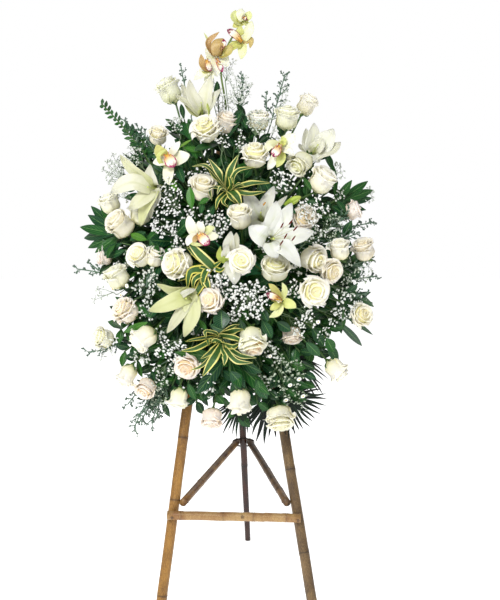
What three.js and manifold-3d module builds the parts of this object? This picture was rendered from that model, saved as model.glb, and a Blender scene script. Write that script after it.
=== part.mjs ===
// A standing funeral spray: a bamboo tripod, floristry foam tied to its front legs, and cut
// flowers and greenery standing in the foam. Millimetres, +Z up, +X to the viewer's right,
// +Y away from the viewer. The floor is Z = 0.
import * as THREE from "three";
import { mergeVertices } from "three/addons/utils/BufferGeometryUtils.js";
import Module from "manifold-3d";

const wasm = await Module();
wasm.setup();
const { Manifold, Mesh: RawMesh } = wasm;

const TAU = Math.PI * 2;
const GAP = 0.3;

function v(x, y, z) {
  return new THREE.Vector3(x, y, z);
}

function toward(from, to, distance) {
  return from.clone().addScaledVector(to.clone().sub(from).normalize(), distance);
}

function between(from, to, share) {
  return from.clone().lerp(to, share);
}

// The easel

const LEG_RADIUS = 12.5;
const KNUCKLE = 1;
const POLE_SIDES = 8;
const APEX = v(-53, 60, 1190);
const APEX_SPREAD = 13;
const APEX_BACK = 23.5;
const LEFT_FOOT = v(-219, -200, 0);
const RIGHT_FOOT = v(158, -200, 0);
const BACK_FOOT = v(-6.6, 450, 0);
const BACK_LEG_FOOT_RADIUS = 7.8;
const BACK_LEG_HEAD_RADIUS = 13.8;
const LEFT_LEG_KNUCKLES = [70, 291, 437, 690];
const RIGHT_LEG_KNUCKLES = [170, 363, 600];

const CROSSBAR = { radius: 10.6, left: -198, right: 121, z: 258, drop: 7, knuckles: [206] };

// The braces lie beside the legs: inside the front ones, and against the back one from behind.
const BRACE_RADIUS = 9.2;
const BRACE_LEG_HEIGHT = 287;
const BRACE_HEIGHT = 321;
const BRACE_BESIDE = LEG_RADIUS + KNUCKLE + BRACE_RADIUS + GAP;
const BRACE_OVERRUN = 10;
const BRACE_SPREAD = 17;
const BRACE_BEHIND = 14;
const BRACE_NAIL_WAY = { aside: 0.93, back: 0.37 };
const NAIL = { radius: 1.5, headRadius: 3.6, headThick: 1.4, length: 34 };
const WIRE = { thick: 1.6, apexWide: 9, apexClear: 1.6, apexDrop: 26, braceWide: 5, braceClear: 1.2 };

// The front legs lean back in one plane; the foam lies against that plane.

const LEAN = Math.atan((APEX.y - LEFT_FOOT.y) / APEX.z);
const FOAM_MIDDLE_X = -50;
const FOAM_MIDDLE_Z = 845;
const BRICK = { wide: 230, tall: 110, deep: 80 };
const TRAY = { wall: 2, lip: 26 };
const TRAY_BACK = LEG_RADIUS + KNUCKLE + GAP;
const FOAM_BACK = TRAY_BACK + TRAY.wall + GAP;
const FOAM_FRONT = FOAM_BACK + BRICK.deep;
const TIE = { thick: 1.3, wide: 4.8, height: 55, clear: 0.6 };
const TIE_CLEAR = 9;
const JOINT_CLEAR = 7;
const EDGE_CLEAR = 8;

const UP_LEAN = v(0, Math.sin(LEAN), Math.cos(LEAN));
const OUT_LEAN = v(0, -Math.cos(LEAN), Math.sin(LEAN));
const FOAM_ORIGIN = v(FOAM_MIDDLE_X, legPlaneY(FOAM_MIDDLE_Z), FOAM_MIDDLE_Z);

function legPlaneY(z) {
  return LEFT_FOOT.y + z * Math.tan(LEAN);
}

// A point of the leaning foam frame: x across, h up the legs, d out of the leg plane.
function onFoam(x, h, d) {
  return FOAM_ORIGIN.clone().add(v(x, 0, 0)).addScaledVector(UP_LEAN, h).addScaledVector(OUT_LEAN, d);
}

function foamFrame(point) {
  const from = point.clone().sub(FOAM_ORIGIN);
  return { x: from.x, h: from.dot(UP_LEAN), d: from.dot(OUT_LEAN) };
}

// Places of blooms and leaves are read along sight lines from one eye point, in the pixels of
// a picture 500 wide and 600 high, and then set on a domed face in front of the foam.

const EYE = v(0, -2600, 991);
const EYE_PITCH = THREE.MathUtils.degToRad(5);
const FOCAL_PIXELS = 1040;
const MIDDLE_PX = 250;
const MIDDLE_PY = 300;

const DOME = { x: -45, z: 880, halfWide: 350, halfTall: 455, base: 30, deep: 195 };

function onSightLine(px, py, y) {
  const across = (px - MIDDLE_PX) / FOCAL_PIXELS;
  const rise = (MIDDLE_PY - py) / FOCAL_PIXELS;
  const line = v(
    across,
    Math.cos(EYE_PITCH) + rise * Math.sin(EYE_PITCH),
    rise * Math.cos(EYE_PITCH) - Math.sin(EYE_PITCH),
  );
  return EYE.clone().addScaledVector(line, (y - EYE.y) / line.y);
}

function domeY(x, z) {
  const across = (x - DOME.x) / DOME.halfWide;
  const up = (z - DOME.z) / DOME.halfTall;
  const swell = Math.sqrt(Math.max(0, 1 - across * across - up * up));
  return legPlaneY(z) - DOME.base - DOME.deep * swell;
}

// The point that a pixel shows on the dome, moved `out` millimetres toward the viewer.
function onDome(px, py, out = 0) {
  let y = 0;
  for (let round = 0; round < 8; round++) {
    const spot = onSightLine(px, py, y);
    y = domeY(spot.x, spot.z) - out;
  }
  return onSightLine(px, py, y);
}

// Where a rod that carries this point comes out of the foam. `shift` slides that place over the
// face of the foam that it is on, clear of the edges, the ties and the joint of the bricks.
function entry(point, shift) {
  const { x, h, d } = foamFrame(point);
  const core = { x: 0.22 * x, h: 0.16 * h, d: FOAM_BACK + 24 };
  const faces = [
    (Math.sign(x) * BRICK.wide / 2 - core.x) / (x - core.x),
    (Math.sign(h) * BRICK.tall - core.h) / (h - core.h),
    (FOAM_FRONT - core.d) / (d - core.d),
  ].map((share) => (share > 0 && Number.isFinite(share) ? share : Infinity));
  const share = Math.min(...faces);
  const face = faces.indexOf(share);
  const out = {
    x: core.x + share * (x - core.x),
    h: core.h + share * (h - core.h),
    d: core.d + share * (d - core.d),
  };
  const [first, second] = shift;
  const most = { x: BRICK.wide / 2 - EDGE_CLEAR, h: BRICK.tall - EDGE_CLEAR, d: FOAM_FRONT - EDGE_CLEAR };
  if (face !== 0) {
    out.x = THREE.MathUtils.clamp(out.x + first, -most.x, most.x);
  }
  if (face !== 1) {
    out.h = THREE.MathUtils.clamp(out.h + second, -most.h, most.h);
    const level = Math.abs(out.h);
    if (Math.abs(level - TIE.height) < TIE_CLEAR) {
      out.h = Math.sign(out.h) * (TIE.height + (level > TIE.height ? TIE_CLEAR : -TIE_CLEAR));
    }
    if (level < JOINT_CLEAR) {
      out.h = out.h < 0 ? -JOINT_CLEAR : JOINT_CLEAR;
    }
  }
  if (face !== 2) {
    const slide = face === 0 ? first : second;
    out.d = THREE.MathUtils.clamp(out.d + slide, TRAY_BACK + TRAY.lip + EDGE_CLEAR, most.d);
  }
  return { mouth: onFoam(out.x, out.h, out.d), core: onFoam(core.x, core.h, core.d) };
}

// Closed skins

function solidOf(geometry) {
  const bare = geometry.clone();
  bare.deleteAttribute("normal");
  bare.deleteAttribute("uv");
  const merged = mergeVertices(bare, 1e-3);
  const corners = merged.attributes.position;
  const triVerts = [];
  for (let i = 0; i < merged.index.count; i += 3) {
    const [p, q, r] = merged.index.array.slice(i, i + 3);
    if (p !== q && q !== r && r !== p) {
      triVerts.push(p, q, r);
    }
  }
  const [a, b, c] = [v(), v(), v()];
  let volume = 0;
  for (let i = 0; i < triVerts.length; i += 3) {
    a.fromBufferAttribute(corners, triVerts[i]);
    b.fromBufferAttribute(corners, triVerts[i + 1]);
    c.fromBufferAttribute(corners, triVerts[i + 2]);
    volume += a.dot(b.cross(c));
  }
  if (volume < 0) {
    for (let i = 0; i < triVerts.length; i += 3) {
      [triVerts[i], triVerts[i + 1]] = [triVerts[i + 1], triVerts[i]];
    }
  }
  const vertProperties = Float32Array.from(corners.array);
  return new Manifold(new RawMesh({ numProp: 3, vertProperties, triVerts: Uint32Array.from(triVerts) }));
}

// A skin with `sides` corners round and `rows` steps along, closed to one point at both ends.
// On a thin one, the lower half's squares are split the same way as the upper half's.
function grown(sides, rows, place, thin = false) {
  const geometry = new THREE.SphereGeometry(1, sides, rows);
  if (thin) {
    for (let row = 1; row < rows - 1; row++) {
      for (let column = sides / 2; column < sides; column++) {
        const at = 3 * (sides + 2 * sides * (row - 1) + 2 * column);
        const [a, b, d, , c] = geometry.index.array.slice(at, at + 6);
        geometry.index.array.set([a, b, c, a, c, d], at);
      }
    }
  }
  const { position, uv } = geometry.attributes;
  for (let i = 0; i < position.count; i++) {
    const row = Math.round((1 - uv.getY(i)) * rows);
    const turn = row === 0 || row === rows ? 0 : uv.getX(i);
    const spot = place(turn * TAU, row);
    position.setXYZ(i, spot.x, spot.y, spot.z);
  }
  return solidOf(geometry);
}

// Two directions square to a third.
function squareTo(axis) {
  const other = Math.abs(axis.z) > 0.8 ? v(1, 0, 0) : v(0, 0, 1);
  const side = other.clone().cross(axis).normalize();
  return { side, up: axis.clone().cross(side).normalize() };
}

// A round bar through the path's points, each with its own radius. Its ends are flat, or the
// last runs out to a point by `nose`.
function bar(path, radii, sides, nose = 0) {
  const last = path.length - 1;
  const overall = path[last].clone().sub(path[0]).normalize();
  const { side: reference } = squareTo(overall);
  return grown(sides, last + 2, (angle, row) => {
    const i = Math.min(Math.max(row - 1, 0), last);
    if (row === 0) {
      return path[0];
    }
    if (row === last + 2) {
      return toward(path[last], path[last - 1], -nose);
    }
    const before = path[Math.max(i - 1, 0)];
    const after = path[Math.min(i + 1, last)];
    const along = before.equals(after) ? overall : after.clone().sub(before).normalize();
    const up = along.clone().cross(reference).normalize();
    const side = up.clone().cross(along).normalize();
    return path[i].clone()
      .addScaledVector(side, Math.cos(angle) * radii[i])
      .addScaledVector(up, Math.sin(angle) * radii[i]);
  });
}

// A straight pole with raised knuckles at given distances from its start.
function pole(start, end, startRadius, endRadius, knuckles, swell) {
  const length = start.distanceTo(end);
  const stations = [[0, 0]];
  for (const at of knuckles) {
    stations.push([at - 6, 0], [at, KNUCKLE], [at + 6, 0]);
  }
  stations.push([length, 0]);
  const path = stations.map(([at]) => between(start, end, at / length));
  const radii = stations.map(([at, extra]) => (
    THREE.MathUtils.lerp(startRadius, endRadius, at / length) + extra + swell
  ));
  return bar(path, radii, POLE_SIDES);
}

// The corners round a blade: how far across each is, and whether it lies above or below. The
// sleeve that clears room round a blade has blunt edges.
const BLADE_CORNERS = [[1, 0], [0, 1], [-1, 0], [0, -1]];
const SLEEVE_CORNERS = [[1, 1], [0, 1], [-1, 1], [-1, -1], [0, -1], [1, -1]];

// A thin arched blade along a curve: knife edges, a thicker middle that dips by `keel`.
function blade({ curve, side, wide, thick = 1.5, keel = 0.25, rows = 4, fullest = 0.5, peak = 0.8 }, swell) {
  const power = Math.log(0.5) / Math.log(fullest);
  const corners = swell > 0 ? SLEEVE_CORNERS : BLADE_CORNERS;
  return grown(corners.length, rows, (angle, row) => {
    const share = row / rows;
    const along = curve.getTangent(share);
    const spot = curve.getPoint(share);
    if (row === 0 || row === rows) {
      return spot.addScaledVector(along, row === 0 ? -swell : swell);
    }
    const up = along.clone().cross(side).normalize();
    const half = (wide / 2) * Math.sin(Math.PI * share ** power) ** peak;
    const [across, rise] = corners[Math.round((angle / TAU) * corners.length) % corners.length];
    const lift = across ? rise * swell : rise * (thick / 2 + swell) - keel * half;
    return spot.addScaledVector(side, across * (half + swell)).addScaledVector(up, lift);
  }, true);
}

// A leaf from root to tip whose upper side looks along `face`, arched by a share of its length.
function leaf(root, tip, face, wide, arch, more, swell) {
  const run = tip.clone().sub(root);
  const bend = between(root, tip, 0.5).addScaledVector(face, arch * run.length());
  const curve = new THREE.QuadraticBezierCurve3(root, bend, tip);
  const side = face.clone().cross(run).normalize();
  return blade({ curve, side, wide, ...more }, swell);
}

// A palm leaf: a fan of pointed blades in one thin sheet, which bends along a curve. There are
// `sideBlades` to each side of the middle one, up to `spread` degrees from it.
function fan({ curve, side, sideBlades, spread, thick = 1.2, rib = 2.4, sag = 0.0008 }, swell) {
  const length = curve.getLength();
  const hub = 0.2 * length;
  const polar = (reach, turn) => {
    const angle = THREE.MathUtils.degToRad(turn);
    return [reach * Math.sin(angle), hub + reach * Math.cos(angle)];
  };
  const right = [[rib, 0], [rib, hub]];
  for (let k = sideBlades; k > 0; k--) {
    const share = k / sideBlades;
    right.push(polar((length - hub) * (1 - 0.22 * share * share), spread * share));
    right.push(polar((length - hub) * 0.46, (spread * (k - 0.5)) / sideBlades));
  }
  const left = right.map(([x, y]) => [-x, y]).reverse();
  const shape = new THREE.Shape([...right, [0, length], ...left].map(([x, y]) => new THREE.Vector2(x, y)));
  const depth = thick + 2 * swell;
  const geometry = new THREE.ExtrudeGeometry(shape, { depth, bevelEnabled: false });
  const place = geometry.attributes.position;
  for (let i = 0; i < place.count; i++) {
    const share = place.getY(i) / length;
    const on = THREE.MathUtils.clamp(share, 0, 1);
    const along = curve.getTangent(on);
    const up = along.clone().cross(side).normalize();
    const x = place.getX(i);
    const spot = curve.getPoint(on)
      .addScaledVector(along, (share - on) * length)
      .addScaledVector(side, x + Math.sign(x) * swell)
      .addScaledVector(up, place.getZ(i) - depth / 2 - sag * x * x);
    place.setXYZ(i, spot.x, spot.y, spot.z);
  }
  return solidOf(geometry);
}

// A flat hoop pulled tight round ellipses that lie in its plane.
const HOOP_POINTS = 16;

function hoop(rounds, clear, thick, wide, place) {
  const outline = (away) => {
    const points = [];
    for (let i = 0; i < HOOP_POINTS; i++) {
      const cos = Math.cos((i / HOOP_POINTS) * TAU);
      const sin = Math.sin((i / HOOP_POINTS) * TAU);
      const reaches = rounds.map(({ x, y, a, b }) => x * cos + y * sin + Math.hypot(a * cos, b * sin));
      const { x, y, a, b } = rounds[reaches.indexOf(Math.max(...reaches))];
      const size = Math.hypot(a * cos, b * sin);
      points.push(new THREE.Vector2(
        x + (a * a * cos) / size + away * cos,
        y + (b * b * sin) / size + away * sin,
      ));
    }
    return points;
  };
  const shape = new THREE.Shape(outline(clear + thick));
  shape.holes.push(new THREE.Path(outline(clear)));
  const geometry = new THREE.ExtrudeGeometry(shape, { depth: wide, bevelEnabled: false });
  geometry.translate(0, 0, -wide / 2);
  geometry.applyMatrix4(place);
  return solidOf(geometry);
}

function box(low, high, place) {
  const size = high.clone().sub(low);
  const middle = between(low, high, 0.5);
  const geometry = new THREE.BoxGeometry(size.x, size.y, size.z);
  geometry.translate(middle.x, middle.y, middle.z);
  if (place) {
    geometry.applyMatrix4(place);
  }
  return solidOf(geometry);
}

// Seeded draws, the same on every run.
function draws(seed) {
  let state = seed;
  return () => {
    state = (state * 1664525 + 1013904223) % 4294967296;
    return state / 4294967296;
  };
}

// Room for the stems

// What already stands in the space in front of the foam, as round-ended rods.
const taken = [];

function take(name, from, to, radius) {
  taken.push({ name, line: new THREE.Line3(from.clone(), to.clone()), radius });
}

// How far a rod stays clear of all that the other pieces have taken.
function clearance(name, from, to, radius) {
  const line = new THREE.Line3(from, to);
  const others = taken.filter((other) => other.name !== name);
  return Math.min(...others.map((other) => (
    Math.sqrt(line.distanceSqToLine3(other.line)) - radius - other.radius
  )));
}

const STEM = { rose: 2.6, lily: 3.2, orchid: 2.6, leaf: 2.2, twig: 1.8, rod: 3 };
const ROOT = { depth: 24, reach: 10, sunk: 4 };
const BLADE_ROOM = 4;
const STEM_CLEAR = 1;
const NUDGE_STEP = 7;
const NUDGE_RINGS = 7;

// Shifts over the foam's face, ring by ring.
function nudges() {
  const shifts = [[0, 0]];
  for (let ring = 1; ring <= NUDGE_RINGS; ring++) {
    for (let step = 0; step < ring * 6; step++) {
      const angle = (step / (ring * 6)) * TAU;
      shifts.push([Math.cos(angle) * ring * NUDGE_STEP, Math.sin(angle) * ring * NUDGE_STEP]);
    }
  }
  return shifts;
}

// The straight stretches of a piece's stems, from the fork on.
function stretches(root, branches) {
  return branches.flatMap((branch) => {
    const path = [root.fork, ...branch];
    return branch.map((point, i) => [path[i], point]);
  });
}

// One rod goes into the foam for a piece, and its stems fork just outside it. The rod moves
// over the foam in small steps until it and the stems run clear of all that is there already.
function rootOf(name, branches, radius) {
  const middle = v(0, 0, 0);
  branches.forEach(([first]) => middle.addScaledVector(first, 1 / branches.length));
  let best = { free: -Infinity };
  for (const shift of nudges()) {
    const { mouth, core } = entry(middle, shift);
    const root = {
      deep: toward(mouth, core, ROOT.depth),
      fork: toward(mouth, core, ROOT.sunk - ROOT.reach),
      end: toward(mouth, core, -ROOT.reach),
    };
    const free = Math.min(
      clearance(name, root.deep, root.end, STEM.rod),
      ...stretches(root, branches).map(([from, to]) => clearance(name, from, to, radius)),
    );
    if (free > best.free) {
      best = { free, root };
    }
    if (free > STEM_CLEAR) {
      break;
    }
  }
  const { root } = best;
  take(name, root.deep, root.end, STEM.rod);
  stretches(root, branches).forEach(([from, to]) => take(name, from, to, radius));
  return root;
}

function rod(root, swell) {
  const radius = STEM.rod + swell;
  return bar([toward(root.deep, root.end, -swell), toward(root.end, root.deep, -swell)], [radius, radius], 4);
}

function stem(root, path, radius, swell) {
  const points = [root.fork, ...path];
  return bar(points, points.map(() => radius + swell), 3);
}

function facing(point, look) {
  if (look) {
    return v(...look).normalize();
  }
  return point.clone().sub(entry(point, [0, 0]).core).normalize();
}

// A skin that starts as a thin five-cornered stem and opens into a bloom's rings. Each ring
// has a middle, a direction, and a point for each angle.
function bloomOnStem(sides, path, radius, look, rings, end, swell) {
  const { side: reference } = squareTo(look);
  const stations = path.map((spot, i) => {
    const next = path[i + 1] ?? spot.clone().add(look);
    const before = path[i - 1] ?? spot;
    return { spot, along: next.clone().sub(before).normalize() };
  });
  const corner = TAU / (sides / 2);
  return grown(sides, stations.length + rings.length + 1, (angle, row) => {
    if (row === 0) {
      return path[0];
    }
    if (row > stations.length + rings.length) {
      return end;
    }
    if (row <= stations.length) {
      const { spot, along } = stations[row - 1];
      const up = along.clone().cross(reference).normalize();
      const side = up.clone().cross(along).normalize();
      const turn = Math.floor(angle / corner + 1e-6) * corner;
      return spot.clone()
        .addScaledVector(side, Math.cos(turn) * (radius + swell))
        .addScaledVector(up, Math.sin(turn) * (radius + swell));
    }
    return rings[row - stations.length - 1](angle);
  });
}

// Blooms

// A rose's rings: shares of its half width and its height, the depth of the lobes that its
// petals make there, and whether they stand between those of the ring below.
const OPEN_ROSE = [
  [0.62, 0.12, 0, 0],
  [0.97, 0.46, 0.03, 0],
  [1.0, 0.86, 0.09, 0],
  [0.72, 0.68, 0.05, 0],
  [0.62, 0.97, 0.1, 1],
  [0.34, 0.76, 0.04, 1],
];
const ROSE_BUD = [
  [0.78, 0.18, 0, 0],
  [1.0, 0.5, 0.04, 0],
  [0.84, 0.88, 0.1, 1],
  [0.52, 0.76, 0.04, 1],
];
const OPEN_SIDES = 10;
const BUD_SIDES = 8;

function rose({ base, look, across, tall, open, neck }, fork, swell) {
  const rows = open ? OPEN_ROSE : ROSE_BUD;
  const sides = open ? OPEN_SIDES : BUD_SIDES;
  const { side, up } = squareTo(look);
  const radius = across / 2 + swell;
  const rings = rows.map(([out, height, lobe, shift], i) => (angle) => {
    const wave = Math.cos((sides / 2) * angle + shift * Math.PI);
    const reach = radius * out * (1 + lobe * wave);
    return base.clone()
      .addScaledVector(look, tall * (height + 0.4 * lobe * wave) + (i > 0 ? swell : -swell))
      .addScaledVector(side, Math.cos(angle) * reach)
      .addScaledVector(up, Math.sin(angle) * reach);
  });
  const end = base.clone().addScaledVector(look, tall + swell);
  return bloomOnStem(sides, [fork, neck], STEM.rose, look, rings, end, swell);
}

// A lily: six pointed petals round a funnel, alternately wide and narrow, and three stamens.
const LILY = { tube: 34, rim: 12, flare: 20, wide: 42, narrow: 31, thick: 1.7, keel: 0.2 };
const STAMENS = { count: 3, foot: 2.5, out: 20, tall: 44, thread: 0.8, anther: 2.2, tip: 2 };

function lily({ throat, look, tips, size, base, neck }, fork, swell) {
  const { side, up } = squareTo(look);
  const on = (out, height, angle) => throat.clone()
    .addScaledVector(look, height * size)
    .addScaledVector(side, Math.cos(angle) * out * size)
    .addScaledVector(up, Math.sin(angle) * out * size);
  const rim = (angle) => on(LILY.rim + swell, swell, angle);
  const solids = [
    bloomOnStem(6, [fork, neck, base], STEM.lily, look, [rim], on(0, -8 + swell, 0), swell),
  ];
  tips.forEach((tip, i) => {
    const out = tip.clone().sub(throat);
    out.addScaledVector(look, -out.dot(look));
    const foot = on(0, -7, 0).add(out.clone().setLength(8 * size));
    const bend = throat.clone().addScaledVector(look, LILY.flare * size).addScaledVector(out, 0.4);
    solids.push(blade({
      curve: new THREE.QuadraticBezierCurve3(foot, bend, tip),
      side: look.clone().cross(out).normalize(),
      wide: (i % 2 ? LILY.narrow : LILY.wide) * size,
      thick: LILY.thick,
      keel: LILY.keel,
      rows: 3,
      fullest: 0.52,
    }, swell));
  });
  for (let i = 0; i < STAMENS.count; i++) {
    const angle = (i + 0.5) * (TAU / STAMENS.count);
    const path = [on(STAMENS.foot, -8, angle), on(STAMENS.out, STAMENS.tall, angle)];
    solids.push(bar(path, [STAMENS.thread + swell, STAMENS.anther + swell], 3, STAMENS.tip));
  }
  return solids;
}

// A boat orchid: three sepals and two petals round a column, and a lip that curls down.
const ORCHID_TURNS = [90, 158, 22, 214, 326];
const ORCHID = { wide: 0.27, bend: 0.12, cup: 0.12, lipWide: 0.24, lipDrop: 0.36, column: 0.17 };

function orchid({ heart, look, across, roll }, swell) {
  const { side, up } = squareTo(look);
  const direction = (degrees) => {
    const angle = THREE.MathUtils.degToRad(degrees + roll);
    return side.clone().multiplyScalar(Math.cos(angle)).addScaledVector(up, Math.sin(angle));
  };
  const on = (way, out, height) => heart.clone()
    .addScaledVector(way, out * across)
    .addScaledVector(look, height * across);
  const solids = ORCHID_TURNS.map((turn) => {
    const way = direction(turn);
    const foot = on(way, 0.03, -0.01);
    const tip = on(way, 0.5, ORCHID.cup);
    const more = { rows: 3, fullest: 0.55 };
    return leaf(foot, tip, look, across * ORCHID.wide, -ORCHID.bend, more, swell);
  });
  const down = direction(270);
  solids.push(blade({
    curve: new THREE.QuadraticBezierCurve3(
      on(down, 0.02, 0),
      on(down, 0.08, 0.3),
      on(down, ORCHID.lipDrop, 0.16),
    ),
    side: side.clone().applyAxisAngle(look, THREE.MathUtils.degToRad(roll)),
    wide: across * ORCHID.lipWide,
    keel: 0.45,
    rows: 4,
    fullest: 0.62,
  }, swell));
  return solids;
}

function orchidOnStem(bloom, path, radius, swell) {
  const { heart, look, across } = bloom;
  const { side, up } = squareTo(look);
  const ring = (out, height) => (angle) => heart.clone()
    .addScaledVector(look, height)
    .addScaledVector(side, Math.cos(angle) * (out + swell))
    .addScaledVector(up, Math.sin(angle) * (out + swell));
  const rings = [ring(across * 0.06, 0), ring(across * 0.05, across * ORCHID.column)];
  const end = heart.clone().addScaledVector(look, across * ORCHID.column + swell);
  return [...orchid(bloom, swell), bloomOnStem(6, path, radius, look, rings, end, swell)];
}

// Tables of what stands in the foam. px and py are where its middle shows in the picture; out
// moves it toward the viewer. look is the way a bloom faces; without it, it faces out from
// the foam. across and tall are millimetres.

const ROSE_BUNCHES = {
  roses_top_left: [
    { px: 169, py: 91, across: 54, tall: 66, look: [-0.45, -0.4, 0.8] },
    { px: 158, py: 136, across: 42, tall: 48 },
  ],
  roses_top: [
    { px: 206, py: 129, across: 71, tall: 58, look: [-0.1, -0.9, 0.4], open: true, out: 6 },
    { px: 227, py: 123, across: 50, tall: 54, look: [0.25, -0.5, 0.8], out: -34 },
    { px: 203, py: 189, across: 54, tall: 64, look: [-0.1, -0.7, 0.6] },
  ],
  roses_top_right: [
    { px: 259, py: 121, across: 46, tall: 48, look: [0, -0.5, 0.85], out: -10 },
    { px: 287, py: 118, across: 54, tall: 62, look: [0.1, -0.5, 0.85] },
    { px: 307, py: 105, across: 44, tall: 56, look: [0.45, -0.3, 0.85], out: -20 },
  ],
  roses_upper_right: [
    { px: 255, py: 155, across: 66, tall: 56, look: [-0.1, -0.9, 0.35], open: true },
    { px: 300, py: 163, across: 46, tall: 56, look: [0.2, -0.75, 0.55] },
    { px: 322, py: 181, across: 62, tall: 66, look: [0.5, -0.65, 0.6], open: true },
  ],
  roses_far_right: [
    { px: 353, py: 211, across: 48, tall: 48, out: -10 },
    { px: 340, py: 250, across: 42, tall: 52, look: [0.7, -0.65, 0.2] },
    { px: 364, py: 250, across: 50, tall: 54, look: [0.85, -0.45, 0.25] },
  ],
  roses_right: [
    { px: 304, py: 218, across: 54, tall: 54, out: -46 },
    { px: 312, py: 257, across: 50, tall: 56, look: [-0.4, -0.85, 0.3], out: -8 },
    { px: 331, py: 271, across: 44, tall: 50 },
    { px: 314, py: 291, across: 78, tall: 58, look: [0.25, -0.95, 0.0], open: true, out: 12 },
  ],
  roses_lower_right: [
    { px: 361, py: 315, across: 54, tall: 48, look: [0.85, -0.4, -0.15] },
    { px: 292, py: 335, across: 54, tall: 50, out: -40 },
    { px: 336, py: 369, across: 54, tall: 52, look: [0.75, -0.35, -0.55] },
  ],
  roses_middle: [
    { px: 240, py: 217, across: 60, tall: 66, look: [0, -0.85, 0.5] },
    { px: 241, py: 261, across: 68, tall: 54, look: [0.12, -1, 0.12], open: true, out: 22 },
    { px: 275, py: 269, across: 66, tall: 56, look: [0.2, -0.9, -0.2], open: true, out: -14 },
  ],
  roses_upper_left: [
    { px: 110, py: 204, across: 46, tall: 52, look: [-0.8, -0.4, 0.45] },
    { px: 141, py: 212, across: 48, tall: 48, out: -40 },
    { px: 121, py: 225, across: 62, tall: 66, look: [-0.7, -0.65, 0.15] },
  ],
  roses_far_left: [
    { px: 140, py: 256, across: 52, tall: 48, look: [-0.6, -0.7, 0.3] },
    { px: 156, py: 259, across: 36, tall: 40, out: -14 },
    { px: 105, py: 256, across: 46, tall: 46, out: -20 },
    { px: 117, py: 277, across: 54, tall: 58, look: [-0.75, -0.5, 0.4] },
  ],
  roses_left_of_middle: [
    { px: 179, py: 264, across: 72, tall: 64, look: [-0.5, -0.85, -0.15], open: true, out: 6 },
    { px: 212, py: 301, across: 60, tall: 58, look: [0, -0.95, -0.1], open: true, out: -4 },
  ],
  roses_lower_left: [
    { px: 126, py: 311, across: 62, tall: 58, look: [-0.65, -0.75, 0.05], open: true },
    { px: 144, py: 338, across: 58, tall: 62, look: [-0.5, -0.75, -0.2] },
    { px: 104, py: 338, across: 46, tall: 48, look: [-0.9, -0.35, -0.2], out: -12 },
  ],
  roses_low_left: [
    { px: 127, py: 376, across: 50, tall: 58, look: [-0.55, -0.4, -0.7] },
    { px: 146, py: 387, across: 48, tall: 52, look: [-0.3, -0.55, -0.75], out: -8 },
    { px: 180, py: 399, across: 44, tall: 50, look: [-0.25, -0.4, -0.9], out: -10 },
    { px: 187, py: 366, across: 60, tall: 56, look: [-0.2, -0.8, -0.5], open: true },
  ],
  roses_bottom: [
    { px: 253, py: 342, across: 64, tall: 64, look: [0.05, -0.75, -0.6], open: true, out: 8 },
    { px: 240, py: 402, across: 54, tall: 66, look: [-0.05, -0.5, -0.85] },
    { px: 280, py: 418, across: 64, tall: 60, look: [0.15, -0.45, -0.9], open: true },
    { px: 212, py: 418, across: 50, tall: 50, look: [-0.1, -0.35, -0.9], out: -14 },
  ],
};

// A lily's tips are where its petals end: px, py, and how much nearer they are than its throat.
const LILIES = {
  lily_top: [{
    px: 197, py: 105, look: [-0.05, -0.5, 0.85], size: 0.85, out: 6,
    tips: [[179, 93, 0], [190, 78, -20], [205, 77, -22], [219, 88, 0], [213, 104, 22], [187, 107, 24]],
  }],
  lily_left: [{
    px: 154, py: 187, look: [-0.55, -0.75, 0.1], size: 1, out: 14,
    tips: [[120, 155, -26], [150, 165, 0], [152, 217, 18], [141, 225, 8], [128, 209, 10], [113, 190, -6]],
  }],
  lily_middle_right: [{
    px: 272, py: 237, look: [0.1, -1, 0.05], size: 1.15, out: 26,
    tips: [[250, 225, 18], [270, 208, 16], [295, 205, 16], [313, 232, 18], [300, 265, 20], [276, 256, 22]],
  }, {
    px: 261, py: 218, look: [-0.15, -0.85, 0.5], size: 0.85, out: -34,
    tips: [[240, 192, 4], [272, 187, 0], [284, 206, 2], [272, 232, 4], [254, 236, 6], [241, 212, 6]],
  }],
  lily_top_right: [{
    px: 319, py: 146, look: [0.35, -0.6, 0.7], size: 0.85, out: 0,
    tips: [[302, 138, 0], [310, 127, -16], [326, 126, -20], [339, 139, 0], [331, 156, 18], [311, 159, 22]],
  }],
  lily_lower_left: [{
    px: 189, py: 291, look: [-0.4, -0.85, -0.25], size: 1, out: 14,
    tips: [[148, 311, -4], [157, 287, 4], [190, 272, 10], [198, 304, 16], [185, 337, 8], [167, 332, 6]],
  }],
  lily_middle: [{
    px: 229, py: 261, look: [-0.3, -0.9, 0.15], size: 0.9, out: -6,
    tips: [[232, 233, 10], [216, 240, 6], [214, 262, 8], [224, 280, 8], [238, 286, 10], [250, 240, 4]],
  }],
};
const LILY_BUD = { px: 297, py: 200, long: 52, across: 22, look: [0.75, -0.35, 0.3], out: -30 };

const ORCHIDS = {
  orchid_left: { px: 170, py: 158, across: 104, look: [-0.2, -0.9, 0.3], roll: 8, out: 16 },
  orchid_upper_right: { px: 277, py: 150, across: 96, look: [0.1, -0.9, 0.35], roll: 12, out: 18 },
  orchid_middle: { px: 202, py: 238, across: 88, look: [-0.15, -0.95, 0.2], roll: -6, out: 24 },
  orchid_lower_right: { px: 277, py: 297, across: 84, look: [-0.3, -0.9, -0.1], roll: -60, out: 22 },
};

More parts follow.
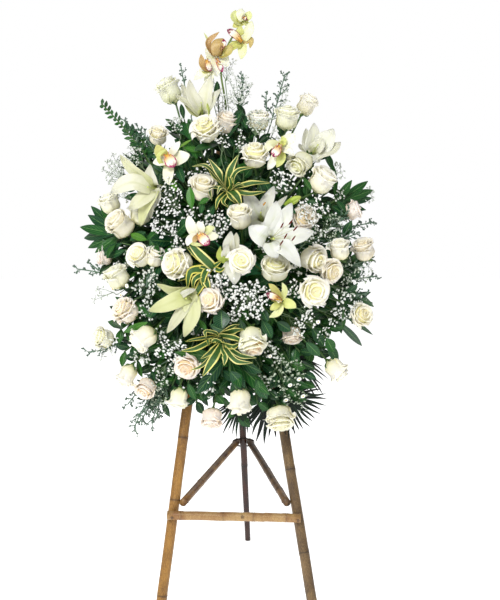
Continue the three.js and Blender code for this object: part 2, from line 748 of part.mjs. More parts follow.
// The tall orchid stem, point by point upward, and its blooms with the point that each leaves.
const ORCHID_SPIKE = {
  stem: [[227, 112, -46], [224, 95, -34], [219, 72, -24], [229, 52, -16], [240, 30, -10]],
  blooms: [
    { from: 4, px: 243, py: 22, across: 72, look: [0.2, -0.8, 0.45], roll: 170, out: -2 },
    { from: 3, px: 243, py: 44, across: 78, look: [-0.4, -0.85, 0.2], roll: -100, out: 14 },
    { from: 3, px: 219, py: 50, across: 76, look: [0.35, -0.6, 0.7], roll: -40, out: 8 },
    { from: 2, px: 207, py: 65, across: 76, look: [-0.15, -0.85, 0.4], roll: 60, out: 8 },
  ],
};

// Rosettes of long striped leaves: where the heart shows, and px, py and nearness of each tip.
const ROSETTES = {
  striped_leaves_top: {
    px: 228, py: 188, out: 0, wide: 17, arch: 0.22,
    tips: [
      [192, 165, 14], [213, 157, 6], [238, 156, 4], [253, 167, 8], [268, 181, 14], [263, 193, 20],
      [240, 206, 24], [217, 207, 22], [224, 170, 26], [246, 184, 30],
    ],
  },
  striped_leaves_middle: {
    px: 214, py: 270, out: -8, wide: 15, arch: 0.25,
    tips: [
      [187, 238, 8], [196, 244, 12], [184, 276, 14], [192, 292, 20], [208, 292, 22], [199, 268, 26],
      [226, 250, 8],
    ],
  },
  striped_leaves_low: {
    px: 221, py: 341, out: 4, wide: 17, arch: 0.2,
    tips: [
      [180, 345, 8], [190, 330, 10], [205, 375, 12], [215, 369, 16], [246, 366, 10], [256, 356, 6],
      [244, 330, 8], [234, 324, 10], [207, 326, 12],
    ],
  },
};

// Sprays of broad leaves: px, py and nearness of the spray's foot and of each leaf's tip.
const LEAF_SPRAYS = {
  dark_leaves_left: [{
    wide: 25, foot: [125, 236, -46],
    tips: [
      [91, 206, 0], [88, 215, 10], [80, 227, 4], [88, 248, 6], [95, 253, 16], [107, 259, 18],
      [100, 196, -14], [84, 238, -16],
    ],
  }],
  dark_leaves_right: [{
    wide: 22, foot: [330, 208, -50],
    tips: [[352, 180, 0], [368, 181, 6], [372, 198, 4], [366, 210, 12], [330, 158, -30], [373, 190, -14]],
  }, {
    wide: 20, foot: [337, 300, -46],
    tips: [[358, 283, 4], [371, 292, 6], [373, 303, 0], [362, 330, 0], [342, 330, 8]],
  }],
  broad_leaves_upper: [{
    wide: 34, foot: [177, 242, -62],
    tips: [[150, 240, 20], [163, 262, 22], [146, 288, 0], [190, 219, 24]],
  }, {
    wide: 32, foot: [222, 150, -70],
    tips: [[187, 122, 4], [243, 110, 10], [194, 151, 20]],
  }],
  broad_leaves_low: [{
    wide: 36, foot: [228, 350, -60],
    tips: [[221, 314, -10], [241, 388, 18], [270, 395, 10], [196, 394, 4], [262, 372, 26], [175, 352, 10]],
  }],
};

// Stems with a row of small leaves on both sides: px, py and nearness from foot to tip.
const LEAFY_STEMS = {
  leafy_stems_top_left: [
    { stem: [[158, 175, -60], [130, 134, -26], [102, 104, -6]], leaves: 11, long: 32, wide: 12 },
    { stem: [[165, 165, -60], [150, 130, -40], [140, 112, -20]], leaves: 7, long: 28, wide: 11 },
  ],
};

// Twigs whose side shoots end in small buds: px, py and nearness from foot to tip.
const BUD_TWIGS = {
  bud_twigs_top: [
    { stem: [[262, 150, -70], [276, 110, -30], [285, 74, -8]], shoots: 7, reach: 34 },
    { stem: [[196, 130, -70], [186, 95, -40], [181, 71, -22]], shoots: 3, reach: 20 },
    { stem: [[236, 130, -70], [244, 100, -40], [242, 78, -20]], shoots: 4, reach: 26 },
  ],
  bud_twigs_right: [
    { stem: [[318, 232, -70], [348, 228, -30], [374, 222, -6]], shoots: 4, reach: 24 },
    { stem: [[322, 282, -70], [350, 280, -30], [377, 276, -6]], shoots: 4, reach: 26 },
  ],
  bud_twigs_left: [
    { stem: [[140, 285, -70], [108, 272, -30], [77, 269, -4]], shoots: 5, reach: 26 },
    { stem: [[146, 322, -96], [116, 352, -66], [88, 352, -34]], shoots: 4, reach: 26 },
    { stem: [[176, 352, -60], [150, 392, -24], [134, 428, -10]], shoots: 6, reach: 34 },
  ],
};

// Clouds of small white florets: where each shows, its half width and its florets.
const CLOUDS = {
  white_sprays_top: [
    { px: 238, py: 92, reach: 36, florets: 9, out: -22 },
    { px: 272, py: 135, reach: 34, florets: 8, out: 0 },
    { px: 178, py: 118, reach: 26, florets: 6, out: -10 },
  ],
  white_sprays_left: [
    { px: 122, py: 172, reach: 36, florets: 10, out: -10 },
    { px: 170, py: 196, reach: 32, florets: 8, out: 6 },
    { px: 172, py: 228, reach: 30, florets: 7, out: 4 },
  ],
  white_sprays_right: [
    { px: 345, py: 228, reach: 26, florets: 6, out: -24 },
    { px: 300, py: 318, reach: 30, florets: 7, out: 4 },
  ],
  white_sprays_low: [
    { px: 252, py: 300, reach: 44, florets: 13, out: 12 },
    { px: 190, py: 348, reach: 30, florets: 8, out: 4 },
    { px: 158, py: 362, reach: 28, florets: 6, out: 0 },
  ],
};

// Palm leaves behind and below the blooms: px, py and nearness of the middle blade, foot to tip.
const PALMS = {
  palm_low_right: [
    { rib: [[276, 384, -84], [296, 408, -52], [318, 428, -40]], sideBlades: 4, spread: 52 },
    { rib: [[272, 380, -104], [270, 415, -76], [270, 446, -58]], sideBlades: 3, spread: 44 },
    { rib: [[286, 350, -84], [306, 368, -54], [325, 385, -44]], sideBlades: 3, spread: 34 },
  ],
  palm_low_left: [
    { rib: [[192, 358, -84], [176, 382, -54], [160, 402, -44]], sideBlades: 3, spread: 26 },
    { rib: [[246, 384, -84], [236, 412, -56], [225, 438, -44]], sideBlades: 3, spread: 36 },
  ],
  palm_upper: [
    { rib: [[170, 200, -110], [146, 168, -78], [126, 148, -60]], sideBlades: 3, spread: 40 },
  ],
};

// What each kind of piece is made of, as colour, roughness and metalness.
const FINISH = {
  bamboo: ["#b58a4c", 0.55, 0],
  darkWood: ["#3a2318", 0.7, 0],
  wire: ["#3c3a37", 0.5, 0.8],
  steel: ["#8d8f92", 0.4, 0.9],
  plastic: ["#1f4a2c", 0.5, 0],
  foam: ["#2f6b3c", 0.95, 0],
  rose: ["#f3ecd6", 0.6, 0],
  lily: ["#f4f2e4", 0.5, 0],
  orchid: ["#e8e2b4", 0.5, 0],
  striped: ["#7f9a3a", 0.5, 0],
  leaf: ["#244f2a", 0.5, 0],
  twig: ["#5d7a68", 0.7, 0],
  floret: ["#f2f3ee", 0.8, 0],
  palm: ["#173a20", 0.5, 0],
};

// A piece is fused from its solids, and then cleared of the pieces that were made before it.
// Corners that stand out by less than CLEANED are taken away, and so are loose scraps.
const CLEANED = 0.12;
const made = [];
const group = new THREE.Group();

function overlapping(one, other) {
  return [0, 1, 2].every((k) => one.min[k] < other.max[k] && other.min[k] < one.max[k]);
}

function geometryOf(solid) {
  const { vertProperties, triVerts } = solid.getMesh();
  const geometry = new THREE.BufferGeometry();
  geometry.setAttribute("position", new THREE.BufferAttribute(vertProperties, 3));
  geometry.setIndex(new THREE.BufferAttribute(triVerts, 1));
  return geometry;
}

function add(name, finish, build) {
  let solid = Manifold.union(build(0));
  const room = solid.boundingBox();
  for (const other of made) {
    if (overlapping(room, other.box)) {
      solid = solid.subtract(other.sleeve);
    }
  }
  const bodies = solidOf(geometryOf(solid.asOriginal().simplify(CLEANED))).decompose();
  const [body] = bodies.sort((one, other) => other.volume() - one.volume());
  const sleeve = Manifold.union(build(GAP));
  made.push({ sleeve, box: sleeve.boundingBox() });
  const geometry = geometryOf(body);
  geometry.computeVertexNormals();
  const [color, roughness, metalness] = FINISH[finish];
  const mesh = new THREE.Mesh(geometry, new THREE.MeshStandardMaterial({ color, roughness, metalness }));
  mesh.name = name;
  group.add(mesh);
}

// The axes of the tripod's poles

const leftTop = APEX.clone().add(v(-APEX_SPREAD, 0, 0));
const rightTop = APEX.clone().add(v(APEX_SPREAD, 0, 0));
const backTop = APEX.clone().add(v(0, APEX_BACK, 0));

function atHeight(foot, top, z) {
  return between(foot, top, (z - foot.z) / (top.z - foot.z));
}

// A leg runs a little below the floor first and is then cut level with it.
const BELOW = 40;

function leg(foot, top, footRadius, topRadius, knuckles, swell) {
  const start = atHeight(foot, top, -BELOW);
  const scale = start.distanceTo(top) / (top.z + BELOW);
  const heights = knuckles.map((z) => (z + BELOW) * scale);
  const raw = pole(start, top, footRadius, topRadius, heights, swell);
  return [raw.subtract(box(v(-600, -600, -200), v(600, 900, -swell)))];
}

const crossbarY = legPlaneY(CROSSBAR.z) - (LEG_RADIUS + CROSSBAR.radius) / Math.cos(LEAN);
const crossbarLeft = v(CROSSBAR.left, crossbarY, CROSSBAR.z + CROSSBAR.drop / 2);
const crossbarRight = v(CROSSBAR.right, crossbarY, CROSSBAR.z - CROSSBAR.drop / 2);
const braceMeet = atHeight(BACK_FOOT, backTop, BRACE_HEIGHT);
const braces = [
  { side: "left", foot: LEFT_FOOT, top: leftTop, inward: 1 },
  { side: "right", foot: RIGHT_FOOT, top: rightTop, inward: -1 },
].map(({ side, foot, top, inward }) => ({
  side,
  inward,
  nailed: atHeight(foot, top, BRACE_LEG_HEIGHT).add(v(inward * BRACE_BESIDE, 0, 0)),
  end: braceMeet.clone().add(v(-inward * BRACE_SPREAD, BRACE_BEHIND, 0)),
}));

// A nail driven along a direction, its head's underside at the point given.
function nail(point, direction, swell) {
  const on = (distance) => point.clone().addScaledVector(direction, distance);
  const top = -NAIL.headThick - swell;
  const radii = [NAIL.headRadius, NAIL.headRadius, NAIL.radius, NAIL.radius];
  const path = [on(top), on(swell), on(swell), on(NAIL.length)];
  return [bar(path, radii.map((r) => r + swell), 6, 3)];
}

function addEasel() {
  const straight = v(0, 1, 0);
  for (const [side, foot, top] of [["left", LEFT_FOOT, leftTop], ["right", RIGHT_FOOT, rightTop]]) {
    const axis = atHeight(foot, top, CROSSBAR.z);
    const share = (axis.x - CROSSBAR.left) / (CROSSBAR.right - CROSSBAR.left);
    const head = between(crossbarLeft, crossbarRight, share).add(v(0, -CROSSBAR.radius - GAP, -3));
    add(`crossbar_nail_${side}`, "steel", (swell) => nail(head, straight, swell));
  }
  for (const { side, inward, nailed } of braces) {
    const way = v(-inward * BRACE_NAIL_WAY.aside, BRACE_NAIL_WAY.back, 0).normalize();
    const start = nailed.clone().addScaledVector(way, -BRACE_RADIUS - GAP);
    add(`brace_nail_${side}`, "steel", (swell) => nail(start, way, swell));
  }
  add("front_leg_left", "bamboo", (swell) => (
    leg(LEFT_FOOT, leftTop, LEG_RADIUS, LEG_RADIUS, LEFT_LEG_KNUCKLES, swell)
  ));
  add("front_leg_right", "bamboo", (swell) => (
    leg(RIGHT_FOOT, rightTop, LEG_RADIUS, LEG_RADIUS, RIGHT_LEG_KNUCKLES, swell)
  ));
  add("back_leg", "darkWood", (swell) => (
    leg(BACK_FOOT, backTop, BACK_LEG_FOOT_RADIUS, BACK_LEG_HEAD_RADIUS, [], swell)
  ));
  add("crossbar", "bamboo", (swell) => [
    pole(crossbarLeft, crossbarRight, CROSSBAR.radius, CROSSBAR.radius, CROSSBAR.knuckles, swell),
  ]);
  for (const { side, nailed, end } of braces) {
    const start = toward(nailed, end, -BRACE_OVERRUN);
    add(`brace_${side}`, "bamboo", (swell) => [pole(start, end, BRACE_RADIUS, BRACE_RADIUS, [], swell)]);
  }
  const z = APEX.z - WIRE.apexDrop;
  const rounds = [[LEFT_FOOT, leftTop], [RIGHT_FOOT, rightTop], [BACK_FOOT, backTop]].map(([foot, top]) => {
    const middle = atHeight(foot, top, z);
    return { x: middle.x, y: middle.y, a: LEG_RADIUS, b: LEG_RADIUS * 1.05 };
  });
  const level = new THREE.Matrix4().makeTranslation(0, 0, z);
  add("apex_binding", "wire", (swell) => [
    hoop(rounds, WIRE.apexClear - swell, WIRE.thick + 2 * swell, WIRE.apexWide + 2 * swell, level),
  ]);
  const tilt = new THREE.Matrix4().makeTranslation(...braceMeet)
    .multiply(new THREE.Matrix4().makeRotationX(-Math.PI / 4));
  const lashed = [
    { x: 0, y: 0, a: 9.6, b: 20.2 },
    { x: -BRACE_SPREAD - 3.3, y: 1.3, a: BRACE_RADIUS * 1.04, b: BRACE_RADIUS * 1.38 },
    { x: BRACE_SPREAD + 3.3, y: 1.3, a: BRACE_RADIUS * 1.04, b: BRACE_RADIUS * 1.38 },
  ];
  add("brace_binding", "wire", (swell) => [
    hoop(lashed, WIRE.braceClear - swell, WIRE.thick + 2 * swell, WIRE.braceWide + 2 * swell, tilt),
  ]);
}

function addFoamHolder() {
  const lean = new THREE.Matrix4().makeBasis(v(1, 0, 0), UP_LEAN, OUT_LEAN).setPosition(FOAM_ORIGIN);
  const half = BRICK.wide / 2 + GAP;
  const tall = BRICK.tall + 2 * GAP;
  const wall = TRAY.wall;
  const rim = TRAY_BACK + TRAY.lip;
  add("tray", "plastic", (swell) => {
    const wide = half + wall + swell;
    const high = tall + wall + swell;
    const outer = box(v(-wide, -high, TRAY_BACK - swell), v(wide, high, rim + swell), lean);
    const room = v(half - swell, tall - swell, rim + 5);
    const inner = box(v(-room.x, -room.y, TRAY_BACK + wall + swell), room, lean);
    return [outer.subtract(inner)];
  });
  for (const [name, way] of [["upper", 1], ["lower", -1]]) {
    const h = way * TIE.height;
    const corner = (x, d) => ({ x, y: d, a: 0.5, b: 0.5 });
    const legs = [[LEFT_FOOT, leftTop], [RIGHT_FOOT, rightTop]].map(([foot, top]) => {
      const middle = atHeight(foot, top, FOAM_MIDDLE_Z + h * Math.cos(LEAN));
      return { x: middle.x - FOAM_MIDDLE_X, y: 0, a: LEG_RADIUS + KNUCKLE, b: LEG_RADIUS + KNUCKLE };
    });
    const edge = half + wall - 0.5;
    const rounds = [
      corner(-half + 0.5, FOAM_FRONT - 0.5), corner(half - 0.5, FOAM_FRONT - 0.5),
      corner(-edge, TRAY_BACK + 0.5), corner(edge, TRAY_BACK + 0.5),
      corner(-edge, rim - 0.5), corner(edge, rim - 0.5), ...legs,
    ];
    const place = new THREE.Matrix4().makeBasis(v(1, 0, 0), OUT_LEAN, v(0, 0, 0).sub(UP_LEAN))
      .setPosition(onFoam(0, h, 0));
    add(`tie_${name}`, "plastic", (swell) => [
      hoop(rounds, TIE.clear - swell, TIE.thick + 2 * swell, TIE.wide + 2 * swell, place),
    ]);
  }
}

function addFoam() {
  const lean = new THREE.Matrix4().makeBasis(v(1, 0, 0), UP_LEAN, OUT_LEAN).setPosition(FOAM_ORIGIN);
  const half = BRICK.wide / 2;
  add("foam_upper", "foam", () => [
    box(v(-half, GAP / 2, FOAM_BACK), v(half, BRICK.tall, FOAM_FRONT), lean),
  ]);
  add("foam_lower", "foam", () => [
    box(v(-half, -BRICK.tall, FOAM_BACK), v(half, -GAP / 2, FOAM_FRONT), lean),
  ]);
}

// Heads come first, so that every stem finds its way past all of them.

const NECK = 3;

function roseHead({ px, py, across, tall, look, open, out }) {
  const middle = onDome(px, py, out);
  const way = facing(middle, look);
  const base = middle.clone().addScaledVector(way, -tall / 2);
  return { base, neck: base.clone().addScaledVector(way, -NECK), look: way, across, tall, open };
}

function lilyHead({ px, py, look, size, out, tips }) {
  const throat = onDome(px, py, out);
  const way = v(...look).normalize();
  const base = throat.clone().addScaledVector(way, -LILY.tube * size);
  const neck = base.clone().addScaledVector(way, -NECK);
  const places = tips.map(([tx, ty, near]) => onSightLine(tx, ty, throat.y - near));
  return { throat, base, neck, look: way, size, tips: places };
}

function orchidHead({ px, py, across, look, roll, out, from }) {
  const heart = onDome(px, py, out);
  const way = v(...look).normalize();
  const on = (back) => heart.clone().addScaledVector(way, -back);
  return { heart, neck: on(26), back: on(6), look: way, across, roll, from };
}

const onDomeRow = ([px, py, out]) => onDome(px, py, out);
const roseHeads = Object.entries(ROSE_BUNCHES).map(([name, rows]) => [name, rows.map(roseHead)]);
const lilyHeads = Object.entries(LILIES).map(([name, rows]) => [name, rows.map(lilyHead)]);
const orchidHeads = Object.entries(ORCHIDS).map(([name, row]) => [name, orchidHead(row)]);
const spikeStem = ORCHID_SPIKE.stem.map(onDomeRow);
const spikeBlooms = ORCHID_SPIKE.blooms.map(orchidHead);

for (const [name, heads] of roseHeads) {
  for (const { base, look, across, tall } of heads) {
    const inset = Math.min(across, tall) * 0.42;
    const low = base.clone().addScaledVector(look, inset * 0.8);
    take(name, low, base.clone().addScaledVector(look, Math.max(tall - inset, inset)), across * 0.42);
  }
}
for (const [name, heads] of lilyHeads) {
  for (const { throat, base } of heads) {
    take(name, base, throat, LILY.rim);
  }
}
for (const [name, { heart, back, across }] of orchidHeads) {
  take(name, back, heart, across * 0.12);
}

function addRoses() {
  for (const [name, heads] of roseHeads) {
    const root = rootOf(name, heads.map(({ neck, base }) => [neck, base]), STEM.rose);
    add(name, "rose", (swell) => [
      rod(root, swell),
      ...heads.map((head) => rose(head, root.fork, swell)),
    ]);
  }
}

function lilyBud(root, swell) {
  const { px, py, long, across, look, out } = LILY_BUD;
  const way = v(...look).normalize();
  const middle = onDome(px, py, out);
  const at = (share) => middle.clone().addScaledVector(way, long * share);
  const radii = [0.25, 0.8, 1, 0.55].map((share) => (share * across) / 2 + swell);
  return [
    bar([at(-0.5), at(-0.2), at(0.12), at(0.38)], radii, 6, long * 0.12),
    stem(root, [at(-0.7), at(-0.4)], STEM.rose, swell),
  ];
}

function addLilies() {
  for (const [name, heads] of lilyHeads) {
    const root = rootOf(name, heads.map(({ neck, base }) => [neck, base]), STEM.lily);
    add(name, "lily", (swell) => [
      rod(root, swell),
      ...heads.flatMap((head) => lily(head, root.fork, swell)),
      ...(heads.length > 1 ? lilyBud(root, swell) : []),
    ]);
    for (const { throat, tips } of heads) {
      tips.forEach((tip) => take(name, throat, tip, BLADE_ROOM));
    }
  }
}

function addOrchids() {
  const spikeRoot = rootOf("orchid_spike", [spikeStem], STEM.orchid + 0.6);
  add("orchid_spike", "orchid", (swell) => [
    rod(spikeRoot, swell),
    stem(spikeRoot, spikeStem, STEM.orchid + 0.6, swell),
    ...spikeBlooms.flatMap((bloom) => (
      orchidOnStem(bloom, [spikeStem[bloom.from], bloom.back], 1.8, swell)
    )),
  ]);
  for (const [name, bloom] of orchidHeads) {
    const root = rootOf(name, [[bloom.neck, bloom.back]], STEM.orchid);
    add(name, "orchid", (swell) => [
      rod(root, swell),
      ...orchidOnStem(bloom, [root.fork, bloom.neck, bloom.back], STEM.orchid, swell),
    ]);
  }
}

function addRosettes() {
  for (const [name, { px, py, out, wide, arch, tips }] of Object.entries(ROSETTES)) {
    const heart = onDome(px, py, out);
    const look = facing(heart);
    const on = (height) => heart.clone().addScaledVector(look, height);
    const root = rootOf(name, [[on(-30), heart]], STEM.leaf);
    add(name, "striped", (swell) => [
      rod(root, swell),
      stem(root, [on(-30), heart], STEM.leaf + 0.8, swell),
      ...tips.map(([tx, ty, near], i) => {
        const tip = onSightLine(tx, ty, heart.y - near);
        const foot = on(-22 + 20 * (i / tips.length));
        return leaf(foot, tip, look, wide, arch, { rows: 3, fullest: 0.42, thick: 1.4 }, swell);
      }),
    ]);
    tips.forEach(([tx, ty, near]) => take(name, heart, onSightLine(tx, ty, heart.y - near), BLADE_ROOM));
  }
}

function addLeafSprays() {
  for (const [name, sprays] of Object.entries(LEAF_SPRAYS)) {
    const hubs = sprays.map(({ foot }) => {
      const hub = onDomeRow(foot);
      return [hub, hub.clone().addScaledVector(facing(hub), 20)];
    });
    const root = rootOf(name, hubs, STEM.leaf);
    add(name, "leaf", (swell) => [rod(root, swell), ...sprays.flatMap(({ wide, tips }, k) => {
      const [hub, far] = hubs[k];
      return [stem(root, [hub, far], STEM.leaf + 0.6, swell), ...tips.map((row, i) => {
        const tip = onDomeRow(row);
        const foot = between(hub, far, (i + 0.3) / tips.length);
        const face = facing(tip).add(v(0, -0.6, 0)).normalize();
        const more = { fullest: 0.56, thick: 1.6, keel: 0.16, peak: 1.1 };
        return leaf(foot, tip, face, wide, 0.12, more, swell);
      })];
    })]);
  }
}

function addLeafyStems() {
  for (const [name, stems] of Object.entries(LEAFY_STEMS)) {
    const curves = stems.map((row) => new THREE.QuadraticBezierCurve3(...row.stem.map(onDomeRow)));
    const paths = curves.map((curve) => curve.getPoints(3));
    const root = rootOf(name, paths, STEM.leaf);
    add(name, "leaf", (swell) => [rod(root, swell), ...stems.flatMap(({ leaves, long, wide }, k) => {
      const solids = [stem(root, paths[k], STEM.leaf, swell)];
      for (let i = 0; i < leaves; i++) {
        const share = 0.25 + (0.72 * i) / (leaves - 1);
        const foot = curves[k].getPoint(share);
        const along = curves[k].getTangent(share);
        const out = along.clone().cross(v(0, i % 2 ? 1 : -1, 0)).normalize();
        const tip = foot.clone().addScaledVector(along, long * 0.7).addScaledVector(out, long * 0.7);
        solids.push(leaf(foot, tip, v(0, -1, 0), wide, 0.1, { rows: 3, thick: 1.3 }, swell));
      }
      return solids;
    })]);
  }
}

// A thread that widens into a bud or floret at its end.
function tipped(foot, end, thread, head, nose, swell) {
  return bar([foot, end], [thread + swell, head + swell], 3, nose);
}

function budTwig(root, curve, shoots, reach, swell) {
  const solids = [stem(root, curve.getPoints(3), STEM.twig, swell)];
  for (let i = 0; i < shoots; i++) {
    const share = 0.42 + (0.56 * i) / (shoots - 1);
    const foot = curve.getPoint(share);
    const along = curve.getTangent(share);
    const { side, up } = squareTo(along);
    const out = side.multiplyScalar(Math.cos(i * 2.4)).addScaledVector(up, Math.sin(i * 2.4));
    const long = reach * (1.1 - 0.6 * share);
    const end = foot.clone().addScaledVector(along, long * 0.75).addScaledVector(out, long * 0.66);
    solids.push(tipped(foot, end, 0.8, 2, 2, swell));
    if (i % 2) {
      const fork = between(foot, end, 0.45);
      const second = fork.clone().addScaledVector(along, long * 0.55).addScaledVector(out, -long * 0.1);
      solids.push(tipped(fork, second, 0.7, 1.9, 2, swell));
    }
  }
  return solids;
}

function addTwigs() {
  for (const [name, stems] of Object.entries(BUD_TWIGS)) {
    const curves = stems.map((row) => new THREE.QuadraticBezierCurve3(...row.stem.map(onDomeRow)));
    const root = rootOf(name, curves.map((curve) => curve.getPoints(3)), STEM.twig);
    add(name, "twig", (swell) => [rod(root, swell), ...stems.flatMap(({ shoots, reach }, k) => (
      budTwig(root, curves[k], shoots, reach, swell)
    ))]);
  }
}

// Florets stand on threads that leave the branch one after another, spread like sunflower seeds.
const SEED_TURN = 2.4;
const BRANCH = 20;

function addClouds() {
  let seed = 11;
  for (const [name, clouds] of Object.entries(CLOUDS)) {
    const plans = clouds.map(({ px, py, reach, florets, out }) => {
      const draw = draws(seed);
      seed += 7;
      const middle = onDome(px, py, out);
      const look = facing(middle);
      const { side, up } = squareTo(look);
      const on = (height) => middle.clone().addScaledVector(look, height);
      const spots = [];
      for (let i = 0; i < florets; i++) {
        const far = reach * Math.sqrt((i + 0.5) / florets);
        spots.push(on((draw() - 0.5) * 22 - (far * far) / 120)
          .addScaledVector(side, Math.cos(i * SEED_TURN) * far)
          .addScaledVector(up, Math.sin(i * SEED_TURN) * far));
      }
      return { branch: [on(-22 - BRANCH), on(-18)], spots };
    });
    const root = rootOf(name, plans.map(({ branch }) => branch), STEM.twig);
    add(name, "floret", (swell) => [rod(root, swell), ...plans.flatMap(({ branch, spots }) => [
      stem(root, branch, STEM.twig, swell),
      ...spots.map((spot, i) => {
        const foot = between(branch[1], branch[0], (i + 0.3) / spots.length);
        return tipped(foot, spot, 0.6, 3.1, 0, swell);
      }),
    ])]);
  }
}

function addPalms() {
  for (const [name, fans] of Object.entries(PALMS)) {
    const curves = fans.map(({ rib }) => new THREE.QuadraticBezierCurve3(...rib.map(onDomeRow)));
    const root = rootOf(name, curves.map((curve) => [curve.getPoint(0.03)]), STEM.twig);
    add(name, "palm", (swell) => [rod(root, swell), ...fans.flatMap(({ sideBlades, spread }, k) => {
      const run = curves[k].getPoint(1).sub(curves[k].getPoint(0));
      const side = v(0, -1, 0.25).cross(run).normalize();
      return [
        stem(root, [curves[k].getPoint(0.03)], STEM.twig, swell),
        fan({ curve: curves[k], side, sideBlades, spread }, swell),
      ];
    })]);
  }
}

addEasel();
addFoamHolder();
addRoses();
addLilies();
addOrchids();
addRosettes();
addLeafSprays();
addLeafyStems();
addTwigs();
addPalms();
addClouds();
addFoam();

// The origin is the middle of the part's footprint box on the floor.
const reachBox = new THREE.Box3().setFromObject(group);
const middle = reachBox.getCenter(v());
group.position.set(-middle.x, -middle.y, 0);

export default group;
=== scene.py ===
import math
from random import Random

import bmesh
import bpy
from mathutils import Matrix, Vector


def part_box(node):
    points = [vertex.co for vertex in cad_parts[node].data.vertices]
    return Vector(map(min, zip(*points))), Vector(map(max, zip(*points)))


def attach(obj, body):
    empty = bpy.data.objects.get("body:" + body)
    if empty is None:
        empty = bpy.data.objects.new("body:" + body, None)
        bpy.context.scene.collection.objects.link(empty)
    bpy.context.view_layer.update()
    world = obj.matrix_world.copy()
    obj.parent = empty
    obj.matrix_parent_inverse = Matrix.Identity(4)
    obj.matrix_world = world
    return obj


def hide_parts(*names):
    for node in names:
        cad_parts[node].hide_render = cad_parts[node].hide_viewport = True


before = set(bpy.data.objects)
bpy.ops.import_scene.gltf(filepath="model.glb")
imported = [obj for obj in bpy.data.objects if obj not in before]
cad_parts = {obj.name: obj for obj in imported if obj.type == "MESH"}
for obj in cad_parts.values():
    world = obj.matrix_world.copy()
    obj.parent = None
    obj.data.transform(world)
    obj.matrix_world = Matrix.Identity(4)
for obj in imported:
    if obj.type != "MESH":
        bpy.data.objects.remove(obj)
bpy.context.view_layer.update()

# A standing funeral spray: cut flowers and greenery in wet foam, tied to a bamboo tripod.
# Lengths are millimetres in the easel's own frame, x to the right, y away from the camera and z
# up from the floor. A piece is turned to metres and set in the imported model's frame when it is
# finished.

MM = 0.001

# The easel

LEG_RADIUS = 12.5
APEX = Vector((-53, 60, 1190))
APEX_SPREAD = 13
APEX_BACK = 23.5
LEFT_FOOT = Vector((-219, -200, 0))
RIGHT_FOOT = Vector((158, -200, 0))
BACK_FOOT = Vector((-6.6, 450, 0))
BACK_LEG_FOOT_RADIUS = 7.8
BACK_LEG_HEAD_RADIUS = 13.8
LEFT_LEG_KNUCKLES = [70, 291, 437, 690]
RIGHT_LEG_KNUCKLES = [170, 363, 600]
BACK_LEG_KNUCKLES = [250, 520, 800]
CROSSBAR = {"radius": 10.6, "left": -198, "right": 121, "z": 258, "drop": 7}
CROSSBAR_KNUCKLES = [33, 134, 206, 285]
CROSSBAR_KNOTS = [180]
KNOT = 4.4
BRACE_RADIUS = 9.2
BRACE_LEG_HEIGHT = 287
BRACE_HEIGHT = 321
BRACE_OVERRUN = 10
BRACE_SPREAD = 17
BRACE_BEHIND = 14
APEX_DROP = 26
WIRE_RADIUS = 0.85
WIRE_OUT = 1.5
WIRE_PITCH = 1.9
WIRE_STEPS = 36
APEX_TURNS = 5
LEG_SLANT = 1.05
BRACE_TURNS = 3
BRACE_ASIDE = BRACE_SPREAD + 3.3

# The foam holder. A stem starts deep in the foam, at these shares of how far across and up its
# bloom stands, and its rod ends a little past the place where the stems fork.

CORE_ACROSS = 0.22
CORE_UP = 0.16
CORE_DEPTH = 24
ROD_RADIUS = 3.0
ROD_FORK = 30
ROD_END = 34
GAP = 0.3
FOAM_MIDDLE_X = -50
FOAM_MIDDLE_Z = 845
BRICK = {"wide": 230, "tall": 110, "deep": 80}
KNUCKLE = 1
TRAY_WALL = 2
TRAY_BACK = LEG_RADIUS + KNUCKLE + GAP
FOAM_BACK = TRAY_BACK + TRAY_WALL + GAP
FOAM_FRONT = FOAM_BACK + BRICK["deep"]
BRACE_BESIDE = LEG_RADIUS + KNUCKLE + BRACE_RADIUS + GAP

LEAN = math.atan((APEX.y - LEFT_FOOT.y) / APEX.z)
UP_LEAN = Vector((0, math.sin(LEAN), math.cos(LEAN)))
OUT_LEAN = Vector((0, -math.cos(LEAN), math.sin(LEAN)))


def leg_plane(z):
    return LEFT_FOOT.y + z * math.tan(LEAN)


FOAM_ORIGIN = Vector((FOAM_MIDDLE_X, leg_plane(FOAM_MIDDLE_Z), FOAM_MIDDLE_Z))


def on_foam(x, h, d):
    """A point of the leaning foam frame: x across, h up the legs, d out of the leg plane."""
    return FOAM_ORIGIN + Vector((x, 0, 0)) + UP_LEAN * h + OUT_LEAN * d


def foam_core(point):
    """Where the stem that carries this point would start, deep in the foam."""
    away = point - FOAM_ORIGIN
    return on_foam(CORE_ACROSS * away.x, CORE_UP * away.dot(UP_LEAN), FOAM_BACK + CORE_DEPTH)


def packed_place():
    """The step from the easel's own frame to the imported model's, from the two bricks of foam."""
    lows, highs = zip(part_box("foam_upper"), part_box("foam_lower"))
    low = Vector(min(a, b) for a, b in zip(*lows))
    high = Vector(max(a, b) for a, b in zip(*highs))
    return (low + high) / 2 - on_foam(0, 0, (FOAM_BACK + FOAM_FRONT) / 2) * MM


SHIFT = packed_place()
SHIFT.z = 0
TO_FRAME = Matrix.Translation(SHIFT) @ Matrix.Scale(MM, 4)

# Blooms and leaves are placed along sight lines from the camera's eye, by the pixels of a
# picture 500 wide and 600 high, on a domed face in front of the foam.

EYE = Vector((0, -2600, 991))
EYE_PITCH = math.radians(5)
FOCAL_PIXELS = 1040
PICTURE_TALL = 600
MIDDLE_PX = 250
MIDDLE_PY = PICTURE_TALL / 2
DOME_ROUNDS = 8
DOME = {"x": -45, "z": 880, "wide": 350, "tall": 455, "base": 30, "deep": 195}


